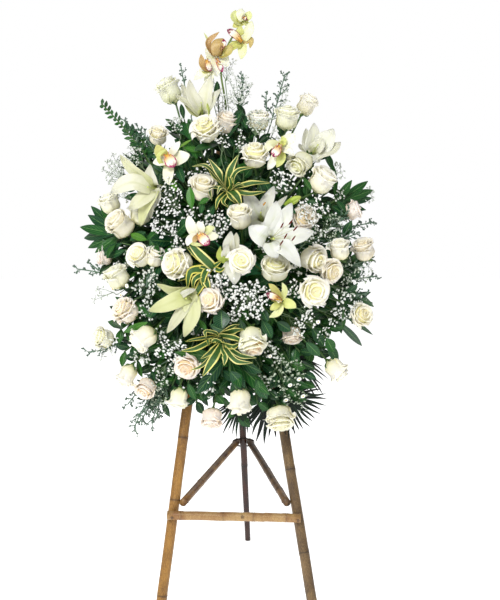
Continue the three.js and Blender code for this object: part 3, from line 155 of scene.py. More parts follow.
def sight(px, py, y):
    """The point that a pixel shows in the upright plane at y."""
    across = (px - MIDDLE_PX) / FOCAL_PIXELS
    rise = (MIDDLE_PY - py) / FOCAL_PIXELS
    cos, sin = math.cos(EYE_PITCH), math.sin(EYE_PITCH)
    line = Vector((across, cos + rise * sin, rise * cos - sin))
    return EYE + line * ((y - EYE.y) / line.y)


def dome_y(x, z):
    across = (x - DOME["x"]) / DOME["wide"]
    up = (z - DOME["z"]) / DOME["tall"]
    return leg_plane(z) - DOME["base"] - DOME["deep"] * math.sqrt(max(0, 1 - across**2 - up**2))


def on_dome(px, py, out=0):
    """The point that a pixel shows on the dome, moved out toward the camera."""
    y = 0
    for _ in range(DOME_ROUNDS):
        spot = sight(px, py, y)
        y = dome_y(spot.x, spot.z) - out
    return sight(px, py, y)


# How many millimetres a pixel covers at the blooms
PIXEL = 2.3


def traced(path, heart):
    """The points of a path whose rows are (px, py, how many millimetres nearer than the heart)."""
    return [sight(px, py, heart.y - near) for px, py, near in path]


def facing(point, look=None):
    if look:
        return Vector(look).normalized()
    return (point - foam_core(point)).normalized()


def square_to(axis):
    """Two directions square to a third."""
    other = Vector((1, 0, 0)) if abs(axis.z) > 0.8 else Vector((0, 0, 1))
    side = other.cross(axis).normalized()
    return side, axis.cross(side).normalized()


def smooth(share):
    share = min(max(share, 0), 1)
    return share * share * (3 - 2 * share)


def bezier(start, bend, end):
    return lambda t: start * (1 - t) ** 2 + bend * 2 * t * (1 - t) + end * t * t


def spline(points):
    """A smooth line through the points."""
    last = len(points) - 1

    def at(share):
        along = min(max(share, 0), 1) * last
        i = min(int(along), last - 1)
        t = along - i
        b, c = points[i], points[i + 1]
        a = points[i - 1] if i > 0 else b * 2 - c
        d = points[i + 2] if i + 2 <= last else c * 2 - b
        return (
            b * 2 + (c - a) * t + (a * 2 - b * 5 + c * 4 - d) * t * t + (b * 3 - a - c * 3 + d) * t**3
        ) * 0.5

    return at


def samples(curve, count):
    return [curve(i / count) for i in range(count + 1)]


def heading(curve, share):
    """Which way a curve runs at a share of its length."""
    return (curve(min(share + 0.02, 1)) - curve(max(share - 0.02, 0))).normalized()


def around(side, up, angle):
    return side * math.cos(angle) + up * math.sin(angle)


def dome_curve(points):
    """A stem or rib through three points of the dome, each (px, py, millimetres out)."""
    return bezier(*[on_dome(*point) for point in points])


def showing(look):
    """Where the width of a blade points whose upper side looks along `look`."""
    return lambda along: look.cross(along).normalized()


# How each skin is made: a bmesh grid bent to its place, or a grid rolled up to a closed bar.

WELD = 1e-3


class Skins:
    """Skins of one finish in one mesh. Each corner keeps its place on its own skin: across
    from -1 to 1, along from 0 to 1, and a tint that picks between the finish's colours."""

    def __init__(self):
        self.bm = bmesh.new()
        self.place = self.bm.verts.layers.float_vector.new("place")
        self.open_faces = []

    def grid(self, columns, rows, spot, tint=0.0, reach=1.0):
        made = bmesh.ops.create_grid(self.bm, x_segments=columns, y_segments=rows, size=1)["verts"]
        for corner in made:
            u, v = corner.co.x, (corner.co.y + 1) / 2
            corner[self.place] = (u, v * reach, tint)
            corner.co = spot(u, v)
        return made

    def sheet(self, columns, rows, spot, tint=0.0, reach=1.0):
        """An open skin, which gets its thickness when the piece is finished."""
        made = self.grid(columns, rows, spot, tint, reach)
        self.open_faces.extend(dict.fromkeys(face for corner in made for face in corner.link_faces))

    def bar(self, points, radii, sides=6, tint=0.0, marks=None, reference=None, along=1.0):
        """A round bar through the points, closed at both ends."""
        last = len(points) - 1
        if not isinstance(radii, (list, tuple)):
            radii = [radii] * (last + 1)
        if reference is None:
            reference, _ = square_to((points[-1] - points[0]).normalized())
        rings = []
        for i, radius in enumerate(radii):
            way = (points[min(i + 1, last)] - points[max(i - 1, 0)]).normalized()
            up = way.cross(reference).normalized()
            rings.append((points[i], up.cross(way) * radius, up * radius))

        def spot(u, v):
            row = round(v * (last + 2))
            point, side, up = rings[min(max(row - 1, 0), last)]
            if row in (0, last + 2):
                return point
            return point + side * math.cos(u * math.pi) + up * math.sin(u * math.pi)

        made = self.grid(sides, last + 2, spot, tint, along)
        if marks:
            for corner in made:
                u, v, _ = corner[self.place]
                row = round(v * (last + 2))
                corner[self.place] = (u, v, marks[min(max(row - 1, 0), last)])

    def blade(self, curve, side, wide, tint=0.0, fullest=0.5, peak=0.8, fold=0.25, columns=4, rows=6,
              wave=0.0, waves=3.0, phase=0.0, start=0.0):
        """A leaf or petal along a curve. side is where its width points, or a function of the
        way it runs. fold is how deep its middle dips, as a share of its half width, and wave how
        far its edges ruffle. start is its width at the root."""
        power = math.log(0.5) / math.log(fullest)
        stations = []
        for row in range(rows + 1):
            share = row / rows
            along = heading(curve, share)
            up = along.cross(side(along) if callable(side) else side).normalized()
            across = up.cross(along).normalized()
            if stations and across.dot(stations[-1][1]) < 0:
                across, up = -across, -up
            half = wide / 2 * math.sin(math.pi * min(share, 0.999) ** power) ** peak
            half = max(half, start / 2 * (1 - share), 0.03 * wide)
            stations.append((curve(share), across, up, half))

        def spot(u, v):
            at, across, up, half = stations[round(v * rows)]
            ruffle = wave * u * u * math.sin(v * waves * math.tau + phase + (1.3 if u > 0 else 0))
            lift = ruffle * half - fold * half * (1 - abs(u) ** 1.6)
            return at + across * (u * half) + up * lift

        self.sheet(columns, rows, spot, tint)

    def leaf(self, root, tip, face, wide, arch, **more):
        """A leaf from root to tip whose upper side looks along face."""
        run = tip - root
        bend = root.lerp(tip, 0.5) + face * (arch * run.length)
        self.blade(bezier(root, bend, tip), face.cross(run).normalized(), wide, **more)

    def ball(self, middle, radius, tint=0.0, rounds=1, squash=1.0, axis=None):
        turn = axis.to_track_quat("Z", "Y").to_matrix().to_4x4() if axis else Matrix.Identity(4)
        place = Matrix.Translation(middle) @ turn @ Matrix.Diagonal((1, 1, squash, 1))
        made = bmesh.ops.create_icosphere(self.bm, subdivisions=rounds, radius=radius, matrix=place)
        for corner in made["verts"]:
            corner[self.place] = (0, 1, tint)

    def finish(self, name, slot, thick=0.6, rounds=1, nodes=(), material=None):
        """Closes the skins, and makes them one piece that rides on the easel."""
        if self.open_faces:
            bmesh.ops.solidify(self.bm, geom=self.open_faces, thickness=thick)
        bmesh.ops.remove_doubles(self.bm, verts=self.bm.verts, dist=WELD)
        bmesh.ops.recalc_face_normals(self.bm, faces=self.bm.faces)
        for face in self.bm.faces:
            face.smooth = True
        self.bm.transform(TO_FRAME)
        mesh = bpy.data.meshes.new(name)
        self.bm.to_mesh(mesh)
        self.bm.free()
        piece = bpy.data.objects.new(name, mesh)
        bpy.context.collection.objects.link(piece)
        mesh.materials.append(material or finishes[slot])
        if rounds:
            finer = piece.modifiers.new("finer", "SUBSURF")
            finer.levels = finer.render_levels = rounds
        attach(piece, "root")
        if nodes:
            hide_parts(*nodes)
        return piece


# Materials

def paint(code):
    """An sRGB hex colour as the linear colour that a shader takes."""
    channels = [int(code[i:i + 2], 16) / 255 for i in (1, 3, 5)]
    linear = [c / 12.92 if c <= 0.04045 else ((c + 0.055) / 1.055) ** 2.4 for c in channels]
    return (*linear, 1.0)


def step(material, kind, inputs=None, stops=None, **settings):
    """Adds a node with its settings. An input is a value, or another node's socket to link."""
    made = material.node_tree.nodes.new(kind)
    for name, value in settings.items():
        setattr(made, name, value)
    for name, value in (inputs or {}).items():
        if isinstance(value, bpy.types.NodeSocket):
            join(material, value, made.inputs[name])
        else:
            made.inputs[name].default_value = value
    if stops:
        elements = made.color_ramp.elements
        while len(elements) < len(stops):
            elements.new(0.5)
        for element, (at, code) in zip(elements, stops):
            element.position = at
            element.color = paint(code)
    return made


def join(material, output, socket):
    material.node_tree.links.new(output, socket)


def coated(name, **constants):
    """A new material with only its shader, whose constants are set on its own sockets."""
    material = bpy.data.materials.new(name)
    material.use_nodes = True
    shader = material.node_tree.nodes["Principled BSDF"]
    for socket, value in constants.items():
        shader.inputs[socket.replace("_", " ")].default_value = value
    return material, shader


def placed(material):
    """The across, along and tint of the skin's own place."""
    place = step(material, "ShaderNodeAttribute", attribute_name="place")
    split = step(material, "ShaderNodeSeparateXYZ", {0: place.outputs["Vector"]})
    return split.outputs


def maths(material, operation, a, b=0.0, c=0.0, clamp=False):
    made = step(material, "ShaderNodeMath", {0: a, 1: b, 2: c}, operation=operation, use_clamp=clamp)
    return made.outputs[0]


def blend(material, share, low, high, kind="MIX"):
    made = step(material, "ShaderNodeMix", {0: share, 6: low, 7: high}, data_type="RGBA", blend_type=kind)
    return made.outputs[2]


def grain(material, size, detail=3.0, stretch=(1, 1, 1)):
    """Noise in the part's own space, with patches about `size` millimetres across."""
    where = step(material, "ShaderNodeTexCoord").outputs["Object"]
    scaled = step(material, "ShaderNodeMapping", {0: where, 3: stretch})
    return step(material, "ShaderNodeTexNoise", {
        "Vector": scaled.outputs[0], "Scale": 1 / (size * MM), "Detail": detail,
    }).outputs["Fac"]


def span(material, value, low, high, start=0.0, end=1.0):
    """How far a value has come from low to high, as a share from start to end."""
    return step(material, "ShaderNodeMapRange", {0: value, 1: low, 2: high, 3: start, 4: end}).outputs[0]


def ramp(material, share, *stops):
    """The colour at a share, from hex colours at even steps or stops of (place, hex colour)."""
    if isinstance(stops[0], str):
        stops = [(i / (len(stops) - 1), code) for i, code in enumerate(stops)]
    return step(material, "ShaderNodeValToRGB", {0: share}, stops=stops).outputs[0]


def times(material, value, factor):
    return maths(material, "MULTIPLY", value, factor)


def mottled(material, size, amount, colour, patch):
    """A colour with soft patches of another, about `size` millimetres across."""
    return blend(material, times(material, grain(material, size), amount), colour, paint(patch))


def covered(material, shader, colour, height, depth):
    """The material with its colour, and bump of `depth` millimetres."""
    join(material, colour, shader.inputs["Base Color"])
    bump = step(material, "ShaderNodeBump", {"Height": height, "Distance": depth * MM, "Strength": 1.0})
    join(material, bump.outputs[0], shader.inputs["Normal"])
    return material


def lines(material, scale, distortion, across, along=0.0):
    """Fine lines that run along a skin."""
    place = step(material, "ShaderNodeCombineXYZ", {0: across, 1: along}).outputs[0]
    return step(material, "ShaderNodeTexWave", {
        "Vector": place, "Scale": scale, "Distortion": distortion,
    }).outputs["Fac"]


def rose_skin():
    # Fresh rose petal: matt and softly lit through, deeper in colour toward its foot
    material, shader = coated(
        "rose petal", Roughness=0.55, Specular_IOR_Level=0.3, Subsurface_Weight=0.45,
        Subsurface_Scale=0.003, Subsurface_Radius=(1.0, 1.0, 0.75))
    across, along, tint = placed(material)[:3]
    rim = ramp(material, tint, (0.0, "#fcf8e6"), (0.33, "#f4f5d8"), (0.66, "#fbefe2"), (1.0, "#f9efdc"))
    heart = ramp(material, tint, (0.0, "#efe6a2"), (0.33, "#d6dd8e"), (0.66, "#f3d5ae"), (1.0, "#c98f48"))
    patches = grain(material, 9)
    rise = maths(material, "MULTIPLY_ADD", patches, 0.35, along)
    share = span(material, rise, 0.15, 0.95)
    body = blend(material, share, heart, rim)
    foot = span(material, along, 0.22, 0.0)
    green = blend(material, times(material, foot, 0.7), body, paint("#c6d08a"))
    edge = span(material, rise, 1.1, 1.25)
    worn = times(material, edge, span(material, tint, 0.7, 1.0, end=0.7))
    veins = lines(material, 3.0, 2.0, across, times(material, along, 0.15))
    return covered(material, shader, blend(material, worn, green, paint("#c79a68")), veins, 0.18)


def lily_skin():
    # Oriental lily petal: waxy white, lime along the midrib and in the throat
    material, shader = coated(
        "lily petal", Roughness=0.42, Subsurface_Weight=0.4, Subsurface_Scale=0.003,
        Subsurface_Radius=(1.0, 1.0, 0.75))
    across, along, tint = placed(material)[:3]
    white = ramp(material, tint, (0.0, "#e9ebe0"), (0.5, "#e3e1c8"), (0.75, "#d4d79f"), (1.0, "#cbd86e"))
    lime = ramp(material, tint, (0.0, "#bfc990"), (0.5, "#b9bc74"), (0.75, "#aab258"), (1.0, "#aac548"))
    aside = times(material, maths(material, "ABSOLUTE", across), 3.4)
    middle = maths(material, "SUBTRACT", 1.0, aside, clamp=True)
    patchy = maths(material, "MULTIPLY_ADD", grain(material, 11), 0.25, along)
    deep = maths(material, "MULTIPLY_ADD", tint, -0.3, patchy)
    throat = span(material, deep, 0.62, 0.2)
    rib = times(material, middle, span(material, along, 0.95, 0.3, end=0.75))
    share = maths(material, "MAXIMUM", rib, throat)
    ribs = lines(material, 2.6, 0.8, across, times(material, along, 0.1))
    return covered(material, shader, blend(material, share, white, lime), ribs, 0.6)


def anther_skin():
    # Lily anther: rust-coloured pollen, powdery
    material, shader = coated("lily anther pollen", Roughness=0.9)
    tint = placed(material)[2]
    rust = ramp(material, tint, "#6a2412", "#d59a2b", "#a9b93f")
    dust = blend(material, grain(material, 0.8), rust, paint("#3d150b"), "MULTIPLY")
    share = blend(material, 0.35, rust, dust)
    return covered(material, shader, share, grain(material, 0.5), 0.2)


def orchid_skin():
    # Boat orchid sepal: waxy, with fine lengthwise veins, from cream through lime to bronze
    material, shader = coated(
        "boat orchid sepal", Roughness=0.38, Subsurface_Weight=0.3, Subsurface_Scale=0.003,
        Subsurface_Radius=(1.0, 1.0, 0.6))
    across, along, tint = placed(material)[:3]
    tip = ramp(material, tint, "#f4f3e6", "#eceed0", "#d3d98a", "#c3b76c", "#c2a06c")
    foot = ramp(material, tint, "#e6e4bd", "#d8d99c", "#b3b855", "#a2964c", "#9c7444")
    share = span(material, along, 0.05, 0.8)
    body = blend(material, share, foot, tip)
    veins = lines(material, 2.2, 0.5, across)
    lined = blend(material, times(material, veins, 0.25), body, foot)
    return covered(material, shader, lined, veins, 0.2)


def lip_skin():
    # Orchid lip: white to yellow in the middle, with a broken magenta edge
    material, shader = coated(
        "boat orchid lip", Roughness=0.45, Subsurface_Weight=0.2, Subsurface_Scale=0.002,
        Subsurface_Radius=(1.0, 0.8, 0.8))
    across, along, tint = placed(material)[:3]
    rim = maths(material, "MAXIMUM", maths(material, "ABSOLUTE", across), along)
    broken = maths(material, "MULTIPLY_ADD", grain(material, 4), 0.5, rim)
    edge = span(material, broken, 1.0, 1.12)
    throat = span(material, along, 0.72, 0.4)
    yellow = blend(material, grain(material, 2.5), paint("#f0c94a"), paint("#c8862a"))
    middle = blend(material, throat, paint("#f5eddc"), yellow)
    dark = ramp(material, tint, "#b2276b", "#6d1030")
    return covered(material, shader, blend(material, edge, middle, dark), grain(material, 1.2), 0.3)


def leaf_skin():
    # Salal and ruscus leaf: leathery, glossy above, with a pale midrib and side veins
    material, shader = coated("broad leaf", Roughness=0.3, Specular_IOR_Level=0.3)
    across, along, tint = placed(material)[:3]
    green = ramp(material, tint, "#0a2911", "#0f4428", "#1f591a", "#3f7b1f", "#76a335")
    body = mottled(material, 14, 0.5, green, "#0c2415")
    side = maths(material, "ABSOLUTE", across)
    rib = span(material, side, 0.09, 0.02)
    comb = maths(material, "SUBTRACT", along, times(material, side, 0.22))
    veins = lines(material, 2.8, 0.6, comb)
    fine = span(material, veins, 0.88, 1.0, end=0.35)
    share = maths(material, "MAXIMUM", times(material, rib, 0.6), fine)
    veined = blend(material, share, body, paint("#6f9a55"))
    return covered(material, shader, veined, maths(material, "SUBTRACT", 1.0, share), 0.4)


def striped_skin():
    # Striped dracaena leaf: dark green middle, bright yellow edges, softly streaked
    material, shader = coated("striped leaf", Roughness=0.4)
    across, _, tint = placed(material)[:3]
    streak = grain(material, 5)
    side = maths(material, "MULTIPLY_ADD", streak, 0.12, maths(material, "ABSOLUTE", across))
    edge = span(material, side, 0.66, 0.74)
    yellow = blend(material, tint, paint("#dcd45e"), paint("#eee79a"))
    middle = blend(material, streak, paint("#1d4420"), paint("#47742c"))
    striped = blend(material, edge, middle, yellow)
    return covered(material, shader, striped, lines(material, 3.0, 0.0, across), 0.2)


def palm_skin():
    # Palm leaflet: satin, its own dark green painted down to near black, which is painted shade
    material, shader = coated("palm leaf with painted shade", Roughness=0.5, Specular_IOR_Level=0.2)
    across, _, tint = placed(material)[:3]
    # These near-black greens are painted shade laid over the leaflet's own dark green
    green = ramp(material, tint, "#060f09", "#0c1e12", "#153019")
    pale = mottled(material, 6, 0.4, green, "#081510")
    return covered(material, shader, pale, maths(material, "ABSOLUTE", across), 0.3)


def stem_skin():
    # Cut stems, sepals and flower cups: fresh green, slightly streaked
    material, shader = coated("flower stem", Roughness=0.5)
    tint = placed(material)[2]
    green = ramp(material, tint, "#2f4f22", "#4c6c2c", "#8aa04a")
    streak = mottled(material, 3, 0.5, green, "#274418")
    return covered(material, shader, streak, grain(material, 1.5), 0.15)


def twig_skin():
    # Sea lavender twig: grey-green with a fine dry skin
    material, shader = coated("sea lavender twig", Roughness=0.7)
    tint = placed(material)[2]
    green = ramp(material, tint, "#5f7f62", "#3c5f42", "#22362a")
    dry = mottled(material, 2, 0.45, green, "#93a79a")
    return covered(material, shader, dry, grain(material, 1), 0.1)


def floret_skin():
    # Baby's breath: dry white florets on pale green threads; a floret's grey tint is painted shade
    material, shader = coated("baby's breath floret", Roughness=0.75)
    tint = placed(material)[2]
    # Past white, the greys up to 0.6 are painted shade on the florets; 0.75 is the threads' own green and 1.0
    # a daisy's yellow eye
    white = ramp(material, tint, (0.0, "#fcfcfa"), (0.3, "#dfe3dc"), (0.55, "#a3b197"),
                 (0.75, "#5f7d4c"), (0.9, "#5f7d4c"), (1.0, "#e2bd34"))
    shade = mottled(material, 2.5, 0.2, white, "#dfe4d8")
    return covered(material, shader, shade, grain(material, 1.2), 0.3)


def cane(name, pale, dark, ring):
    # Bamboo cane: waxy skin with long streaks, darker and scuffed at each knuckle
    material, shader = coated(name, Roughness=0.42)
    near = placed(material)[2]
    streaks = grain(material, 6, 5.0, (6, 6, 0.35))
    patches = grain(material, 45, 3.0, (1.5, 1.5, 0.6))
    share = maths(material, "MULTIPLY_ADD", streaks, 0.7, times(material, patches, 0.55))
    spread = span(material, share, 0.5, 0.74)
    skin = blend(material, spread, paint(pale), paint(dark))
    worn = times(material, near, maths(material, "MULTIPLY_ADD", patches, 0.5, 0.5))
    join(material, span(material, streaks, 0.0, 1.0, 0.34, 0.6), shader.inputs["Roughness"])
    return covered(material, shader, blend(material, worn, skin, paint(ring)), streaks, 0.35)


def plain_finishes():
    """Finishes of the hard parts. Each has a name, roughness and metal, the size of its patches,
    its two colours, and the size and height of its grain."""
    made = {}
    for slot, name, rough, metal, patch, pale, dark, fine, height in (
        # Floristry foam: wet phenolic foam, matt, with open cells and crumbs
        ("wet_foam", "wet floristry foam", 0.95, 0, 3, "#1f5a35", "#3f8a55", 1.5, 0.8),
        # Tray and ties: moulded green polypropylene, softly glossy
        ("tray_plastic", "moulded polypropylene", 0.45, 0, 20, "#173d24", "#1f4a2c", 0.8, 0.05),
        # Nails: drawn steel wire, dulled by rust
        ("steel", "drawn steel nail", 0.5, 0.8, 1.5, "#55504a", "#8a6a4c", 0.6, 0.1),
        # Binding: annealed iron wire, nearly black
        ("wire", "annealed binding wire", 0.5, 0.85, 4, "#2a2725", "#4d453e", 0.7, 0.08),
    ):
        material, shader = coated(name, Roughness=rough, Metallic=metal)
        colour = blend(material, grain(material, patch), paint(pale), paint(dark))
        made[slot] = covered(material, shader, colour, grain(material, fine), height)
    return made


finishes = {
    "rose_petal": rose_skin(),
    "lily_petal": lily_skin(),
    "lily_anther": anther_skin(),
    "orchid_petal": orchid_skin(),
    "orchid_lip": lip_skin(),
    "leaf": leaf_skin(),
    "striped_leaf": striped_skin(),
    "palm_leaf": palm_skin(),
    "stem": stem_skin(),
    "twig": twig_skin(),
    "white_floret": floret_skin(),
    **plain_finishes(),
}
golden_cane = cane("golden bamboo cane", "#a87b38", "#6f4c20", "#38220f")
grey_cane = cane("weathered bamboo cane", "#866c45", "#4d3a25", "#291b10")
pale_cane = cane("pale bamboo cane", "#b69762", "#85592f", "#40270f")
brown_cane = cane("brown bamboo cane", "#a07a44", "#5a371c", "#2e1b0e")
umber_cane = cane("umber bamboo cane", "#8a6a44", "#3a281a", "#22150c")
dark_cane = cane("dark cane", "#4a2212", "#0b0706", "#060404")


# The foam's rods

def foam_rod(name, middle):
    """Where a CAD node's rod ends in the foam, and where its stems fork just outside it."""
    inside = []
    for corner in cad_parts[name].data.vertices:
        away = (corner.co - SHIFT) / MM - FOAM_ORIGIN
        spot = (away.x, away.dot(UP_LEAN), away.dot(OUT_LEAN))
        if abs(spot[0]) < BRICK["wide"] / 2 - 1 and abs(spot[1]) < BRICK["tall"] - 1:
            if FOAM_BACK < spot[2] < FOAM_FRONT - 1:
                inside.append(spot)
    low = [min(values) for values in zip(*inside)]
    high = [max(values) for values in zip(*inside)]
    deep = on_foam(*[(a + b) / 2 for a, b in zip(low, high)])
    way = (deep - foam_core(middle)).normalized()
    return {"deep": deep, "fork": deep + way * ROD_FORK, "end": deep + way * ROD_END}


def stems_of(skins, rod, paths, radius, tint=0.4):
    """The rod that stands in the foam, and the stems that leave it."""
    skins.bar([rod["deep"], rod["end"]], ROD_RADIUS, 8, tint)
    for path in paths:
        curve = spline([rod["fork"], *path])
        skins.bar(samples(curve, 4 * len(path)), radius, 6, tint)


# Roses

ROSE_STEM = 2.6
NECK = 3
# Where along a petal its rim starts to roll back, and how far one edge tucks under the next
ROLL_START = 0.64
TUCK = 0.06
SEPALS = 5

# A rose's whorls, from the outside in: how many petals, their belly and rim as shares of the
# half width, their height as a share of the whole, how far each wraps round in degrees, how
# many degrees its rim rolls back, and how far its colour gets from the heart's to the rim's.
OPEN_WHORLS = [
    (5, 0.86, 0.84, 0.70, 56, 118, 1.0),
    (4, 0.80, 0.74, 0.87, 62, 88, 0.95),
    (3, 0.64, 0.54, 0.97, 78, 62, 0.85),
    (3, 0.44, 0.32, 1.03, 86, 40, 0.66),
    (2, 0.24, 0.10, 1.02, 125, 12, 0.55),
]
BUD_WHORLS = [
    (3, 0.96, 0.90, 0.88, 84, 66, 1.0),
    (3, 0.88, 0.70, 0.99, 92, 36, 0.95),
    (2, 0.66, 0.42, 1.03, 122, 28, 0.8),
    (2, 0.38, 0.14, 1.02, 135, 10, 0.6),
]


# Past this tint a rose is brown at heart: whorls whose colour gets further to the rim's than
# the share below are cream.
BROWN_HEART = 0.95
CREAM_PAST = 0.8
CREAM = 0.2


def rose_petal(skins, head, whorl, turn, draw):
    _, belly, rim, height, wrap, roll, colour = whorl
    base, look, half = head["base"], head["look"], head["across"] / 2
    side, up = square_to(look)
    tall = head["tall"] * height * draw.uniform(0.94, 1.05)
    lean = draw.uniform(-0.03, 0.05)
    phase = draw.uniform(0, math.tau)
    bend = math.radians(roll * draw.uniform(0.65, 1.25)) + 0.05
    radius = (1 - ROLL_START) * tall / bend

    def spot(u, v):
        straight = min(v / ROLL_START, 1)
        turned = bend * max(v - ROLL_START, 0) / (1 - ROLL_START) * (0.72 + 0.28 * abs(u))
        out = belly * math.sin(math.pi / 2 * (0.12 + 0.88 * min(straight / 0.6, 1)))
        out += (rim + lean - belly) * smooth((straight - 0.5) / 0.5)
        out += (0.05 * u**4 + 0.02 * math.sin(4 * u + phase)) * v
        out = out * half + radius * (1 - math.cos(turned))
        out *= 1 + TUCK * u
        rise = tall * ROLL_START * straight**1.1 + radius * math.sin(turned)
        rise += tall * (0.03 * (1 - abs(u)) * v**4 - 0.15 * abs(u) ** 3 * v * v)
        angle = turn + math.radians(wrap) * u * (0.5 + 0.5 * math.sin(math.pi / 2 * min(v / 0.5, 1)))
        return base + look * rise + side * (math.cos(angle) * out) + up * (math.sin(angle) * out)

    tint = head["tint"]
    if tint > BROWN_HEART and colour > CREAM_PAST:
        tint = CREAM
    skins.sheet(10, 9, spot, tint, colour)


def rose_core(skins, head):
    """The tightly packed petals inside a rose, as one closed bud that fills it."""
    base, look, half, tall = head["base"], head["look"], head["across"] / 2, head["tall"]
    shape = [(0.05, 0.3), (0.25, 0.66), (0.5, 0.76), (0.68, 0.7), (0.8, 0.5), (0.86, 0.25), (0.88, 0.08)]
    points = [base + look * (tall * rise) for rise, _ in shape]
    skins.bar(points, [half * wide for _, wide in shape], 14, head["tint"], along=0.3)


def rose_green(skins, head, draw):
    """The cup under a rose and its five sepals."""
    base, look, half, tall = head["base"], head["look"], head["across"] / 2, head["tall"]
    side, up = square_to(look)
    low = base - look * 4
    skins.bar([low, base, base + look * 5, base + look * 9], [2.8, 5.4, 6.6, 3.0], 10, 0.5)
    for i in range(SEPALS):
        angle = i * math.tau / SEPALS + draw.uniform(-0.2, 0.2)
        out = around(side, up, angle)
        down = draw.uniform(-0.35, 0.3)
        tip = base + out * half * draw.uniform(0.75, 0.95) + look * tall * (0.22 + down * 0.5)
        foot = base + look * 3 + out * 4
        bend = base + out * half * 0.85 + look * tall * 0.02
        skins.blade(bezier(foot, bend, tip), look.cross(out).normalized(), 7.5, 0.45,
                    fullest=0.3, peak=0.9, fold=0.3, columns=2, rows=4, start=6)


def rose(px, py, across, tall, *look, out=0, tint=0.0, opened=False):
    """A rose whose middle shows at a pixel. It faces along look, or straight out of the foam."""
    middle = on_dome(px, py, out)
    look = facing(middle, look)
    base = middle - look * (tall / 2)
    return {"base": base, "neck": base - look * NECK, "look": look, "across": across, "tall": tall,
            "open": opened, "tint": tint}


# A rose's middle, how wide and tall it is and where it faces. out is how far it stands out of
# the dome. Its tint is 0 for cream, 0.33 greenish, 0.66 pinkish and 1 brown-edged.
ROSE_BUNCHES = {
    "roses_top_left": [
        rose(169, 91, 54, 68, -0.45, -0.15, 0.85, tint=0.25),
        rose(158, 136, 42, 44, 0.1, -0.6, 0.75, tint=0.5),
    ],
    "roses_top": [
        rose(206, 129, 62, 62, -0.25, -0.7, 0.65, out=6, opened=True),
        rose(227, 123, 50, 54, 0.25, -0.5, 0.8, out=-34, tint=0.6),
        rose(203, 189, 54, 60, 0.1, -0.6, 0.75, tint=0.5),
    ],
    "roses_top_right": [
        rose(259, 121, 46, 48, 0, -0.3, 0.9, out=-10),
        rose(287, 118, 54, 62, 0.1, -0.3, 0.9, tint=0.2),
        rose(307, 105, 44, 56, 0.5, -0.1, 0.85, out=-20, tint=0.5),
    ],
    "roses_upper_right": [
        rose(255, 155, 58, 62, 0.0, -0.5, 0.85, opened=True),
        rose(301, 163, 50, 60, -0.55, -0.6, -0.45, tint=0.4),
        rose(322, 181, 56, 64, 0.5, -0.35, 0.75),
    ],
    "roses_far_right": [
        rose(353, 211, 42, 42, out=-14, tint=0.66),
        rose(340, 250, 44, 52, -0.15, -0.3, 0.9),
        rose(364, 250, 50, 54, -0.3, -0.45, 0.8, tint=0.55),
    ],
    "roses_right": [
        rose(304, 218, 56, 54, 0.1, -0.9, 0.2, out=-46, tint=0.6, opened=True),
        rose(313, 259, 56, 60, 0.55, -0.65, -0.2, out=-8),
        rose(331, 271, 54, 50, 0.6, -0.75, -0.2, tint=0.55, opened=True),
        rose(314, 291, 64, 58, 0.25, -0.95, 0.0, out=12, opened=True),
    ],
    "roses_lower_right": [
        rose(361, 315, 54, 48, 0.5, -0.8, 0.3, tint=0.5, opened=True),
        rose(292, 335, 44, 40, 0.1, -0.5, -0.8, out=-44, tint=0.9),
        rose(336, 369, 44, 58, 0.7, -0.2, -0.65),
    ],
    "roses_middle": [
        rose(240, 217, 50, 62, -0.1, -0.5, 0.8),
        rose(241, 261, 54, 54, 0.12, -1, 0.12, out=22, opened=True),
        rose(275, 269, 62, 54, 0.1, -0.6, 0.75, out=-14, tint=0.1),
    ],
    "roses_upper_left": [
        rose(110, 204, 46, 52, -0.35, -0.25, 0.85, tint=0.1),
        rose(141, 214, 48, 56, 0.1, -0.3, 0.9, out=-30, tint=0.15),
        rose(121, 225, 58, 64, -0.6, -0.5, 0.6, tint=0.5),
    ],
    "roses_far_left": [
        rose(140, 256, 50, 50, -0.4, -0.8, 0.45),
        rose(155, 257, 42, 48, 0.3, -0.4, 0.85, out=-10),
        rose(105, 256, 44, 40, out=-24, tint=0.66),
        rose(117, 277, 54, 58, -0.45, -0.3, 0.85, tint=0.15),
    ],
    "roses_left_of_middle": [
        rose(178, 264, 62, 68, -0.75, -0.6, 0.1, out=6, opened=True),
        rose(212, 301, 52, 58, -0.45, -0.8, 0.25, out=-4, tint=0.6, opened=True),
    ],
    "roses_lower_left": [
        rose(126, 311, 56, 60, -0.7, -0.4, 0.5, tint=0.6, opened=True),
        rose(144, 338, 52, 64, -0.7, -0.2, -0.5),
        rose(104, 338, 46, 48, -0.7, -0.6, 0.3, out=-12, tint=0.1),
    ],
    "roses_low_left": [
        rose(127, 375, 42, 56, -0.45, -0.2, -0.85),
        rose(146, 388, 44, 48, -0.3, -0.7, -0.5, out=-8, tint=0.75),
        rose(179, 398, 40, 50, -0.1, -0.2, -0.95, out=-10, tint=0.15),
        rose(187, 366, 56, 52, -0.2, -0.8, -0.4, out=-8, tint=0.8, opened=True),
    ],
    "roses_bottom": [
        rose(252, 341, 56, 70, 0.15, -0.5, -0.85, out=8, tint=1.0, opened=True),
        rose(240, 401, 48, 66, -0.05, -0.25, -0.95),
        rose(280, 418, 64, 60, 0.15, -0.45, -0.9, tint=0.45, opened=True),
        rose(212, 418, 48, 48, -0.1, -0.5, -0.8, out=-14, tint=0.7),
    ],
}


def middle_of(points):
    return sum(points, Vector()) / len(points)


